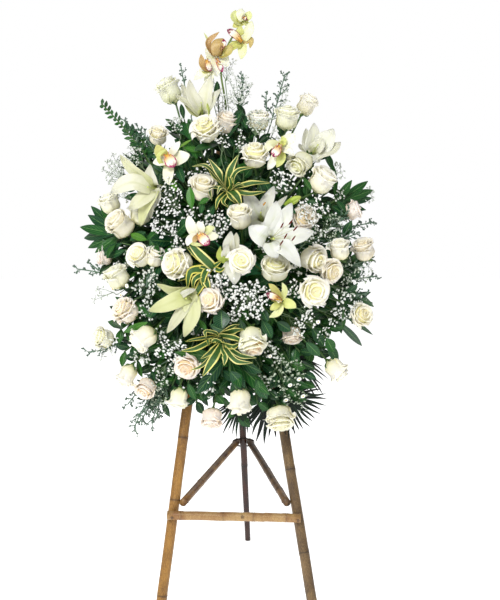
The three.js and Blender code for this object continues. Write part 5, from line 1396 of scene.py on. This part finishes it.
def add_leaf_sprays():
    draw = Random(41)
    for name, sprays in LEAF_SPRAYS.items():
        hubs = []
        for spray in sprays:
            hub = on_dome(*spray["foot"])
            hubs.append((hub, hub + facing(hub) * 20))
        leaves, green = Skins(), Skins()
        for (hub, far), spray in zip(hubs, sprays):
            for i, row in enumerate(spray["tips"]):
                tip = on_dome(*row)
                foot = hub.lerp(far, (i + 0.3) / len(spray["tips"]))
                face = (facing(tip) + Vector((0, -0.6, 0))).normalized()
                leaves.leaf(
                    foot, tip, face, spray["wide"], 0.12, tint=draw.uniform(0.15, 0.6), fullest=0.56,
                    peak=0.95, fold=0.2, rows=10, columns=6, wave=0.05, phase=draw.uniform(0, 6), start=2.4,
                )
        stems_of(green, foam_rod(name, middle_of([hub for hub, _ in hubs])), hubs, 2.8)
        leaves.finish(f"{name}_blades", "leaf", 0.7, 1, [name])
        green.finish(f"{name}_stems", "stem", rounds=1)


def leafy(leaves, curve, count, start, long, wide, draw, tints, face):
    """Leaves in two rows on a stem, each leaning toward the stem's tip."""
    for i in range(count):
        share = start + (0.98 - start) * i / (count - 1)
        foot = curve(share)
        along = heading(curve, share)
        out = along.cross(face * (1 if i % 2 else -1)).normalized()
        reach = long * draw.uniform(0.8, 1.15) * (1.1 - 0.35 * share)
        spread = draw.uniform(0.45, 0.95)
        tip = foot + along * (reach * 0.75) + out * (reach * spread) + face * draw.uniform(-6, 8)
        turned = (face + out * draw.uniform(-0.5, 0.3)).normalized()
        leaves.leaf(foot, tip, turned, wide * draw.uniform(0.85, 1.15), 0.1, tint=draw.uniform(*tints),
                    fullest=0.48, peak=0.9, fold=0.25, rows=5, columns=2, start=1.2)


def add_leafy_stems():
    draw = Random(47)
    leaves, green = Skins(), Skins()
    curves = [dome_curve(row["stem"]) for row in LEAFY_STEMS]
    for row, curve in zip(LEAFY_STEMS, curves):
        leafy(leaves, curve, row["leaves"], 0.25, row["long"], row["wide"], draw, (0.05, 0.55),
              Vector((0, -1, 0)))
    rod = foam_rod("leafy_stems_top_left", middle_of([curve(0) for curve in curves]))
    stems_of(green, rod, [samples(curve, 4) for curve in curves], 2.0)
    leaves.finish("leafy_stems_top_left_blades", "leaf", 0.6, 1, ["leafy_stems_top_left"])
    green.finish("leafy_stems_top_left_stems", "stem", rounds=1)


# Greenery between the blooms: leafy stems that rise from the foam in all directions, and more
# that end at these pixels.

GOLDEN_ANGLE = 2.39996
GREENERY_GROUPS = 4
GREENERY_SUNK = 44
GREENERY = {"stems": 92, "leaves": 11, "long": 48, "wide": 22}
MORE_GREENERY = [
    (268, 392), (282, 380), (258, 404), (292, 366), (300, 352), (216, 396), (197, 392), (172, 386),
    (232, 384), (150, 372), (276, 402), (246, 392), (312, 340), (330, 330), (190, 130), (178, 128),
    (236, 124), (250, 132), (344, 296), (132, 240), (134, 272), (128, 292),
    (112, 262), (118, 246), (120, 330), (124, 352), (150, 400), (162, 404), (352, 262), (350, 280),
    (341, 212),
    (285, 389), (296, 384), (304, 374), (290, 398), (212, 385), (206, 377), (222, 372), (130, 260),
]


def add_greenery():
    draw = Random(58)
    leaves = [Skins() for _ in range(GREENERY_GROUPS)]
    green = Skins()
    tips = []
    for i in range(GREENERY["stems"]):
        share = math.sqrt((i + 0.5) / GREENERY["stems"])
        angle = i * GOLDEN_ANGLE
        x = DOME["x"] + DOME["wide"] * 0.86 * share * math.cos(angle)
        z = DOME["z"] - 16 + DOME["tall"] * 0.8 * share * math.sin(angle)
        tips.append(Vector((x, dome_y(x, z) + draw.uniform(34, 74), z)))
    tips += [on_dome(px, py, -GREENERY_SUNK) for px, py in MORE_GREENERY]
    for i, tip in enumerate(tips):
        core = foam_core(tip)
        start = core.lerp(tip, 0.3)
        sway = Vector((draw.uniform(-12, 12), draw.uniform(-4, 16), draw.uniform(-12, 12)))
        bend = core.lerp(tip, 0.62) + sway
        curve = bezier(start, bend, tip)
        tilt = Vector((draw.uniform(-0.4, 0.4), -1, draw.uniform(-0.2, 0.5)))
        face = (facing(tip) * 0.5 + tilt).normalized()
        leafy(leaves[i % GREENERY_GROUPS], curve, GREENERY["leaves"], 0.3, GREENERY["long"],
              GREENERY["wide"], draw, (0.0, 0.58), face)
        green.bar([core, *samples(curve, 4)], 1.8, 5, 0.2)
    for i, skins in enumerate(leaves):
        skins.finish(f"greenery_{i + 1}", "leaf", 0.6, 0)
    green.finish("greenery_stems", "stem", rounds=0)


# Sea lavender twigs: the stem's three points on the dome, how many shoots and how far they reach

SEED_TURN = 2.4
BUD_TWIGS = {
    "bud_twigs_top": [
        ([(262, 150, -70), (276, 110, -30), (285, 74, -8)], 18, 34),
        ([(196, 130, -70), (186, 95, -40), (181, 67, -22)], 12, 24),
        ([(236, 130, -70), (244, 100, -40), (242, 78, -20)], 12, 30),
        ([(262, 150, -70), (268, 115, -36), (266, 96, -18)], 9, 26),
        ([(158, 175, -70), (140, 142, -40), (124, 120, -24)], 14, 26),
        ([(164, 170, -70), (150, 140, -36), (138, 128, -20)], 12, 28),
    ],
    "bud_twigs_right": [
        ([(318, 232, -70), (348, 228, -30), (374, 222, -6)], 14, 28),
        ([(322, 282, -70), (350, 280, -30), (377, 276, -6)], 14, 30),
        ([(316, 236, -70), (334, 226, -26), (348, 212, -8)], 12, 28),
        ([(322, 270, -70), (346, 268, -26), (368, 260, -8)], 13, 30),
        ([(322, 290, -70), (344, 296, -30), (366, 294, -6)], 12, 28),
        ([(318, 240, -70), (340, 240, -26), (356, 234, -4)], 11, 26),
    ],
    "bud_twigs_left": [
        ([(140, 285, -70), (108, 272, -30), (77, 269, -4)], 12, 26),
        ([(146, 322, -96), (116, 352, -66), (88, 352, -34)], 12, 28),
        ([(176, 352, -60), (150, 392, -24), (134, 428, -10)], 20, 38),
        ([(176, 352, -60), (160, 390, -26), (152, 424, -14)], 16, 36),
        ([(172, 352, -64), (146, 380, -30), (128, 404, -16)], 14, 30),
        ([(140, 288, -70), (112, 282, -34), (88, 262, -12)], 10, 22),
        ([(176, 352, -66), (158, 388, -34), (142, 420, -18)], 22, 34),
        ([(176, 352, -70), (160, 384, -40), (157, 418, -24)], 20, 32),
    ],
}


def bud_twig(skins, curve, shoots, reach, draw):
    for i in range(shoots):
        share = 0.34 + 0.65 * i / (shoots - 1)
        foot = curve(share)
        along = heading(curve, share)
        side, up = square_to(along)
        out = around(side, up, i * SEED_TURN)
        long = reach * (1.1 - 0.6 * share) * draw.uniform(0.8, 1.2)
        end = foot + along * (long * 0.75) + out * (long * 0.66)
        skins.bar([foot, foot.lerp(end, 0.5) + along * 2, end], [1.0, 0.8, 0.7], 5, draw.uniform(0.1, 0.5))
        skins.ball(end, 2.0, draw.uniform(0.5, 1.0), 1, 1.5, out)
        for fork_share in (0.25, 0.42, 0.58, 0.72, 0.86):
            fork = foot.lerp(end, fork_share)
            aside = (out.cross(along) * draw.uniform(-1, 1) + along * 0.8 + out * 0.3).normalized()
            tip = fork + aside * (long * draw.uniform(0.2, 0.42))
            skins.bar([fork, tip], 0.6, 4, draw.uniform(0.1, 0.5))
            skins.ball(tip, draw.uniform(1.3, 2.0), draw.uniform(0.3, 1.0), 1, 1.4, aside)


def add_twigs():
    draw = Random(63)
    for name, rows in BUD_TWIGS.items():
        skins = Skins()
        curves = [dome_curve(stem) for stem, _, _ in rows]
        for (_, shoots, reach), curve in zip(rows, curves):
            bud_twig(skins, curve, shoots, reach, draw)
        rod = foam_rod(name, middle_of([curve(0) for curve in curves]))
        stems_of(skins, rod, [samples(curve, 4) for curve in curves], 1.6, 0.3)
        skins.finish(name + "_shoots", "twig", rounds=0, nodes=[name])


# Baby's breath. Each cloud is an oval on the dome: px, py, half its width and height in pixels,
# florets, millimetres out of the dome, and tint. White is 0; grey 0.3 and green-grey 0.5 are painted shade.

CLOUDS = {
    "white_sprays_top": [
        (226, 68, 9, 11, 44, -16, 0.2), (240, 90, 12, 16, 110, -22, 0.3), (222, 103, 9, 10, 50, -16, 0.2),
        (221, 138, 8, 10, 34, -4, 0.08), (258, 121, 12, 12, 100, 12, 0.4), (240, 140, 6, 10, 30, -8, 0.1),
        (176, 124, 8, 7, 50, -12, 0.3), (232, 118, 7, 9, 24, -20, 0.2), (272, 138, 10, 8, 34, -10, 0.2),
        (213, 84, 6, 8, 16, -18, 0.15), (283, 100, 6, 10, 20, -26, 0.4),
    ],
    "white_sprays_left": [
        (114, 170, 10, 16, 130, -12, 0.36), (134, 157, 9, 10, 60, -20, 0.34), (193, 178, 8, 10, 38, -8, 0.08),
        (168, 198, 14, 21, 130, 0, 0.03), (165, 228, 15, 8, 60, 2, 0.06), (176, 243, 7, 8, 26, 2, 0.06),
        (214, 225, 14, 15, 100, -2, 0.04), (147, 284, 13, 16, 90, -4, 0.3), (144, 311, 7, 9, 30, -8, 0.25),
        (105, 346, 13, 11, 54, -16, 0.2), (121, 192, 9, 8, 30, -12, 0.3), (188, 218, 9, 12, 44, 0, 0.05),
        (205, 172, 6, 7, 18, -14, 0.1), (99, 296, 8, 8, 20, -20, 0.4), (126, 262, 9, 7, 22, -16, 0.4),
    ],
    "white_sprays_right": [
        (281, 182, 11, 11, 66, 0, 0.03), (338, 171, 8, 7, 28, -16, 0.35), (340, 195, 6, 6, 18, -12, 0.3),
        (370, 197, 5, 8, 20, -14, 0.3), (312, 211, 14, 14, 100, 0, 0.04), (316, 238, 9, 10, 44, -16, 0.3),
        (334, 228, 11, 17, 60, -14, 0.5), (352, 306, 16, 12, 70, -8, 0.15), (308, 315, 8, 10, 34, 0, 0.1),
        (292, 290, 8, 8, 30, -6, 0.05), (356, 272, 18, 12, 60, -14, 0.45), (346, 290, 12, 8, 30, -12, 0.4),
        (298, 264, 7, 12, 28, -26, 0.1), (336, 318, 8, 9, 26, -10, 0.2), (265, 245, 8, 8, 18, -34, 0.1),
    ],
    "white_sprays_low": [
        (217, 279, 12, 10, 60, -2, 0.05), (250, 300, 19, 20, 190, 4, 0.04), (298, 328, 8, 8, 30, -4, 0.25),
        (172, 350, 18, 10, 90, -2, 0.08), (183, 367, 13, 12, 70, -4, 0.15), (230, 290, 8, 12, 40, -6, 0.06),
        (287, 372, 18, 16, 70, -14, 0.5), (296, 398, 14, 12, 40, -16, 0.5), (270, 352, 12, 8, 30, -12, 0.3),
        (158, 378, 10, 9, 34, -14, 0.35), (204, 384, 12, 10, 34, -16, 0.35), (232, 320, 9, 7, 24, -10, 0.2),
        (160, 398, 9, 14, 36, -22, 0.5), (200, 330, 9, 7, 22, -16, 0.15), (322, 336, 8, 7, 22, -14, 0.3),
        (142, 357, 9, 8, 40, -18, 0.3), (160, 336, 7, 8, 26, -22, 0.25), (262, 384, 8, 9, 30, -18, 0.4),
    ],
}
DAISIES = {
    "white_sprays_top": [(221, 131, 2), (262, 113, -8)],
    "white_sprays_left": [(113, 289, -4), (121, 295, -4), (127, 286, -2)],
    "white_sprays_right": [(318, 322, 0)],
    "white_sprays_low": [(290, 385, -4), (299, 379, -6), (303, 396, -8), (286, 400, -8), (270, 356, -6)],
}
# The tint of the threads that carry the florets
THREAD = 0.75


def floret(skins, spot, look, size, tint, draw):
    """A double floret: a five-pointed star, with a smaller one turned on top of it."""
    turn = look.to_track_quat("Z", "Y").to_matrix()
    spin = draw.uniform(0, 1.2)
    for share, lift in ((1.0, 0.0), (0.62, 0.4)):
        made = bmesh.ops.create_icosphere(skins.bm, subdivisions=1, radius=size * share)["verts"]
        # The tint greys the white floret, which is painted shade, with a little random spread
        shade = min(max(tint + draw.uniform(-0.08, 0.1), 0), 0.6)
        cos, sin = math.cos(spin + lift), math.sin(spin + lift)
        for corner in made:
            x, y, z = corner.co
            reach = 1.35 if 0 < z < size * share * 0.9 else 0.8
            local = Vector((reach * (cos * x - sin * y), reach * (sin * x + cos * y), z * 0.6 + lift * size))
            corner.co = spot + turn @ local
            corner[skins.place] = (0, 1, shade)


def daisy(skins, spot, look, size):
    """A small single daisy with a yellow eye."""
    side, up = square_to(look)
    for k in range(11):
        angle = k * math.tau / 11
        out = around(side, up, angle)
        skins.leaf(spot, spot + out * size + look * 0.8, look, size * 0.5, 0.05, tint=0.0, fullest=0.65,
                   peak=0.6, fold=0.2, columns=2, rows=3, start=size * 0.2)
    skins.ball(spot + look * 0.8, size * 0.3, 1.0, 2, 0.6, look)


def cloud(skins, row, draw):
    px, py, wide, tall, florets, out, tint = row
    middle = on_dome(px, py, out)
    look = facing(middle)
    branch = [middle - look * 64, middle - look * 34]
    boughs = max(3, florets // 7)
    spread = 1.15 * math.sqrt(wide * tall / boughs)
    for b in range(boughs):
        far = math.sqrt((b + 0.5) / boughs)
        bx = px + wide * far * math.cos(b * SEED_TURN)
        by = py + tall * far * math.sin(b * SEED_TURN)
        hub = on_dome(bx, by, out - draw.uniform(14, 24))
        skins.bar([branch[1], branch[1].lerp(hub, 0.6) - look * 3, hub], [0.8, 0.6, 0.5], 4, THREAD)
        for _ in range(round(florets / boughs)):
            away = spread * math.sqrt(draw.random())
            turn = draw.uniform(0, math.tau)
            spot = on_dome(bx + away * math.cos(turn), by + away * math.sin(turn), out + draw.uniform(-9, 7))
            skins.bar([hub, spot], 0.35, 3, THREAD)
            tilted = (look + Vector([draw.uniform(-0.5, 0.5) for _ in range(3)])).normalized()
            size = draw.uniform(2.2, 3.3) if draw.random() < 0.8 else draw.uniform(1.1, 1.6)
            floret(skins, spot, tilted, size, tint, draw)
    return branch


def add_clouds():
    draw = Random(77)
    for name, rows in CLOUDS.items():
        skins = Skins()
        branches = [cloud(skins, row, draw) for row in rows]
        for px, py, out in DAISIES[name]:
            spot = on_dome(px, py, out)
            look = (facing(spot) + Vector((0, -0.8, 0))).normalized()
            daisy(skins, spot, look, draw.uniform(5.5, 7))
            branches.append([spot - look * 40, spot - look])
        rod = foam_rod(name, middle_of([branch[0] for branch in branches[:3]]))
        stems_of(skins, rod, branches, 1.2, THREAD)
        skins.finish(name + "_florets", "white_floret", rounds=0, nodes=[name])


# Palm leaves: the rib's three points on the dome, the blades to each side and their spread in
# degrees

PALMS = {
    "palm_low_right": [
        ([(276, 384, -84), (296, 408, -52), (318, 428, -40)], 8, 52),
        ([(272, 380, -104), (270, 415, -76), (270, 446, -58)], 6, 44),
        ([(278, 338, -84), (302, 366, -40), (326, 396, -30)], 5, 20),
    ],
    "palm_low_left": [
        ([(192, 358, -84), (176, 382, -54), (160, 402, -44)], 6, 26),
        ([(246, 384, -84), (236, 412, -56), (225, 438, -44)], 6, 36),
    ],
    "palm_upper": [
        ([(170, 200, -110), (146, 168, -78), (126, 148, -60)], 6, 40),
    ],
}
FAN_HUB = 0.2
FAN_JOINED = 0.5


def palm_fan(skins, curve, side, blades, spread, draw):
    """A fan of pointed pleats which part at about half their length, `blades` to each side."""
    length = sum((curve((i + 1) / 12) - curve(i / 12)).length for i in range(12))
    hub = FAN_HUB * length

    def on_fan(reach, turn):
        x, y = reach * math.sin(turn), hub + reach * math.cos(turn)
        share = y / length
        on = min(max(share, 0), 1)
        along = heading(curve, on)
        up = along.cross(side).normalized()
        return curve(on) + along * ((share - on) * length) + side * x - up * (0.0008 * x * x)

    gap = math.radians(spread) / blades
    for k in range(-blades, blades + 1):
        share = abs(k) / blades
        reach = (length - hub) * (1 - 0.22 * share * share) * draw.uniform(0.82, 1.0)
        turn = k * gap
        wide = 1.15 * gap * FAN_JOINED * reach
        path = spline([on_fan(reach * s, turn + draw.uniform(-0.03, 0.03)) for s in (0, 0.25, 0.5, 0.75, 1)])
        aside = (on_fan(reach * 0.5, turn + 0.1) - on_fan(reach * 0.5, turn - 0.1)).normalized()
        skins.blade(path, aside, wide, draw.random(), fullest=FAN_JOINED, peak=0.8, fold=0.5, columns=4,
                    rows=10, start=2)


def add_palms():
    draw = Random(84)
    for name, rows in PALMS.items():
        skins = Skins()
        curves = [dome_curve(rib) for rib, _, _ in rows]
        for (_, blades, spread), curve in zip(rows, curves):
            side = Vector((0, -1, 0.25)).cross(curve(1) - curve(0)).normalized()
            skins.bar(samples(spline([curve(0), curve(0.1), curve(0.22)]), 5), 2.2, 6, 0.8)
            palm_fan(skins, curve, side, blades, spread, draw)
        rod = foam_rod(name, middle_of([curve(0.03) for curve in curves]))
        stems_of(skins, rod, [[curve(0.03)] for curve in curves], 1.8, 0.8)
        skins.finish(name + "_leaflets", "palm_leaf", 0.6, 0, [name])


# Bamboo easel

LEFT_TOP = APEX + Vector((-APEX_SPREAD, 0, 0))
RIGHT_TOP = APEX + Vector((APEX_SPREAD, 0, 0))
BACK_TOP = APEX + Vector((0, APEX_BACK, 0))


def at_height(foot, top, z):
    return foot.lerp(top, (z - foot.z) / (top.z - foot.z))


def pole(name, start, end, radii, knuckles, material, slot, seed, level=False, mark=1.0, knots=()):
    """A round cane. Each knuckle has a fine groove between two low rings, and the cane wanders a
    little off its line between them. A knot is a dark spot on its front. Knuckles and knots are
    given by their distance from its start."""
    draw = Random(seed)
    length = (end - start).length
    stations = [(0, 0, 0)]
    for at in knuckles:
        stations += [(at - 9, 0, 0), (at - 3, 0.4, 0.2 * mark), (at - 1.2, 0.7, 0.8 * mark),
                     (at, -0.2, mark), (at + 1.2, 0.6, 0.8 * mark), (at + 3, 0.3, 0.2 * mark),
                     (at + 9, 0, 0)]
    for at in knots:
        stations += [(at + away, 0, 0) for away in (-5, -3, -1, 1, 3, 5)]
    stations.append((length, 0, 0))
    cuts = [(a[0] + (b[0] - a[0]) * k / 3, 0, 0) for a, b in zip(stations, stations[1:])
            if b[0] - a[0] > 40 for k in (1, 2)]
    stations = sorted(stations + cuts)
    skins = Skins()
    points, widths = [], []
    side, up = square_to((end - start).normalized())
    for at, extra, _ in stations:
        share = at / length
        sway = 0.5 if 0 < share < 1 and extra == 0 else 0
        middle = start.lerp(end, share)
        points.append(middle + side * draw.uniform(-sway, sway) + up * draw.uniform(-sway, sway))
        widths.append(radii[0] + (radii[1] - radii[0]) * share + extra)
    skins.bar(points, widths, 28, marks=[near for _, _, near in stations])
    way = (end - start).normalized()
    for at in knots:
        spot = start + way * at + Vector((0, -0.97, 0.24)) * radii[0]
        for corner in skins.bm.verts:
            if (corner.co - spot).length < KNOT:
                u, v, _ = corner[skins.place]
                corner[skins.place] = (u, v, 1.0)
    if level:
        bmesh.ops.remove_doubles(skins.bm, verts=skins.bm.verts, dist=WELD)
        cut = bmesh.ops.bisect_plane(
            skins.bm, geom=[*skins.bm.verts, *skins.bm.edges, *skins.bm.faces], plane_co=(0, 0, 0),
            plane_no=(0, 0, -1), clear_outer=True,
        )
        edges = [e for e in cut["geom_cut"] if isinstance(e, bmesh.types.BMEdge)]
        bmesh.ops.contextual_create(skins.bm, geom=edges)
    return skins.finish(name + "_cane", slot, rounds=0, nodes=[name], material=material)


def wire_turns(name, rounds, turns, place):
    """Iron wire wound round ellipses (x, y, a, b) that lie in one plane."""
    skins = Skins()
    points = []
    for i in range(turns * WIRE_STEPS + 1):
        angle = i / WIRE_STEPS * math.tau
        cos, sin = math.cos(angle), math.sin(angle)
        reaches = [x * cos + y * sin + math.hypot(a * cos, b * sin) for x, y, a, b in rounds]
        x, y, a, b = rounds[reaches.index(max(reaches))]
        size = math.hypot(a * cos, b * sin)
        points.append(place @ Vector((
            x + a * a * cos / size + WIRE_OUT * cos, y + b * b * sin / size + WIRE_OUT * sin,
            (i / WIRE_STEPS - turns / 2) * WIRE_PITCH,
        )))
    axis = (place.to_3x3() @ Vector((0, 0, 1))).normalized()
    skins.bar(points, WIRE_RADIUS, 6, reference=axis)
    skins.finish(name + "_turns", "wire", rounds=0, nodes=[name])


def add_bindings():
    """Wire round the legs at the apex, and on a slant round the back leg and both braces. The
    wire's plane cuts each cane in an ellipse, whose half width and depth are its last two."""
    z = APEX.z - APEX_DROP
    level = [at_height(foot, top, z) for foot, top in (
        (LEFT_FOOT, LEFT_TOP), (RIGHT_FOOT, RIGHT_TOP), (BACK_FOOT, BACK_TOP))]
    rounds = [(spot.x, spot.y, LEG_RADIUS, LEG_RADIUS * LEG_SLANT) for spot in level]
    wire_turns("apex_binding", rounds, APEX_TURNS, Matrix.Translation((0, 0, z)))
    meet = at_height(BACK_FOOT, BACK_TOP, BRACE_HEIGHT)
    brace = (BRACE_RADIUS * 1.04, BRACE_RADIUS * 1.38)
    rounds = [(0, 0, 9.6, 20.2), *[(aside, 1.3, *brace) for aside in (-BRACE_ASIDE, BRACE_ASIDE)]]
    tilt = Matrix.Translation(meet) @ Matrix.Rotation(-math.pi / 4, 4, "X")
    wire_turns("brace_binding", rounds, BRACE_TURNS, tilt)


def add_easel():
    below = 40
    front = (LEG_RADIUS, LEG_RADIUS)
    back = (BACK_LEG_FOOT_RADIUS, BACK_LEG_HEAD_RADIUS)
    for name, foot, top, radii, heights, material, slot in (
        ("front_leg_left", LEFT_FOOT, LEFT_TOP, front, LEFT_LEG_KNUCKLES, golden_cane, "bamboo"),
        ("front_leg_right", RIGHT_FOOT, RIGHT_TOP, front, RIGHT_LEG_KNUCKLES, grey_cane, "bamboo"),
        ("back_leg", BACK_FOOT, BACK_TOP, back, BACK_LEG_KNUCKLES, dark_cane, "dark_wood"),
    ):
        start = at_height(foot, top, -below)
        scale = (top - start).length / (top.z + below)
        knuckles = [(z + below) * scale for z in heights]
        pole(name, start, top, radii, knuckles, material, slot, len(name), True)
    radius = CROSSBAR["radius"]
    bar_y = leg_plane(CROSSBAR["z"]) - (LEG_RADIUS + radius) / math.cos(LEAN)
    left = Vector((CROSSBAR["left"], bar_y, CROSSBAR["z"] + CROSSBAR["drop"] / 2))
    right = Vector((CROSSBAR["right"], bar_y, CROSSBAR["z"] - CROSSBAR["drop"] / 2))
    pole("crossbar", left, right, (radius, radius), CROSSBAR_KNUCKLES, pale_cane, "bamboo", 3,
         mark=0.45, knots=CROSSBAR_KNOTS)
    meet = at_height(BACK_FOOT, BACK_TOP, BRACE_HEIGHT)
    for side, foot, top, inward, material, knuckles in (
        ("left", LEFT_FOOT, LEFT_TOP, 1, brown_cane, [150]),
        ("right", RIGHT_FOOT, RIGHT_TOP, -1, umber_cane, [90, 250]),
    ):
        nailed = at_height(foot, top, BRACE_LEG_HEIGHT) + Vector((inward * BRACE_BESIDE, 0, 0))
        end = meet + Vector((-inward * BRACE_SPREAD, BRACE_BEHIND, 0))
        start = nailed - (end - nailed).normalized() * BRACE_OVERRUN
        pole(f"brace_{side}", start, end, (BRACE_RADIUS, BRACE_RADIUS), knuckles, material, "bamboo", 7)


# Stage. The floor and the backdrop glow so far that they show as near white, and the room's light
# on the part is less than what the camera sees behind it.

FLOOR_SIZE = 24
FLOOR_GLOW = 0.85
ROOM_LIGHT = 0.27
WHITE = (1, 1, 1, 1)
SENSOR = 36
LIGHTS_AIM = Vector((0, 0, 0.95))
LIGHTS = (
    # name, place, size, watts
    ("key", (-1.1, -2.9, 2.8), 1.2, 104),
    ("fill", (2.2, -2.6, 1.4), 2.2, 7),
    ("back", (0.8, 2.4, 2.6), 1.8, 22),
)


def add_floor():
    bpy.ops.mesh.primitive_plane_add(size=FLOOR_SIZE, location=(0, 0, 0))
    floor = bpy.context.object
    floor.name = "studio_floor"
    # Studio floor: matt white paint
    material, shader = coated(
        "white studio floor", Roughness=0.8, Emission_Color=WHITE, Emission_Strength=FLOOR_GLOW)
    shade = blend(material, grain(material, 400), paint("#f4f4f3"), paint("#f8f8f7"))
    join(material, shade, shader.inputs["Base Color"])
    floor.data.materials.append(material)


def add_backdrop():
    world = bpy.data.worlds.new("studio")
    bpy.context.scene.world = world
    world.use_nodes = True
    backdrop = world.node_tree.nodes["Background"]
    backdrop.inputs["Color"].default_value = WHITE
    seen = step(world, "ShaderNodeLightPath").outputs["Is Camera Ray"]
    join(world, span(world, seen, 0.0, 1.0, ROOM_LIGHT), backdrop.inputs["Strength"])


def add_lights():
    for name, place, size, watts in LIGHTS:
        lamp = bpy.data.lights.new(name, "AREA")
        lamp.size = size
        lamp.energy = watts
        light = bpy.data.objects.new(name, lamp)
        light.location = place
        light.rotation_euler = (LIGHTS_AIM - Vector(place)).to_track_quat("-Z", "Y").to_euler()
        bpy.context.collection.objects.link(light)


def add_camera():
    lens = bpy.data.cameras.new("camera")
    lens.sensor_width = SENSOR
    lens.lens = FOCAL_PIXELS * SENSOR / PICTURE_TALL
    lens.clip_end = 100
    camera = bpy.data.objects.new("camera", lens)
    camera.location = SHIFT + EYE * MM
    camera.rotation_euler = (math.pi / 2 - EYE_PITCH, 0, 0)
    bpy.context.collection.objects.link(camera)
    bpy.context.scene.camera = camera
    bpy.context.scene.view_settings.view_transform = "Standard"


def finish_kept_nodes():
    """The holder's parts and the nails keep their CAD shape and get their finish here."""
    for slot, names in (
        ("wet_foam", ("foam_upper", "foam_lower")),
        ("tray_plastic", ("tray", "tie_upper", "tie_lower")),
        ("steel", ("crossbar_nail_left", "crossbar_nail_right", "brace_nail_left", "brace_nail_right")),
    ):
        for name in names:
            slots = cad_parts[name].data.materials
            for i in range(len(slots)):
                slots[i] = finishes[slot]


add_floor()
add_backdrop()
add_lights()
add_camera()
finish_kept_nodes()
add_easel()
add_bindings()
add_roses()
add_lilies()
add_orchids()
add_rosettes()
add_leaf_sprays()
add_single_leaves()
add_leafy_stems()
add_greenery()
add_twigs()
add_clouds()
add_palms()
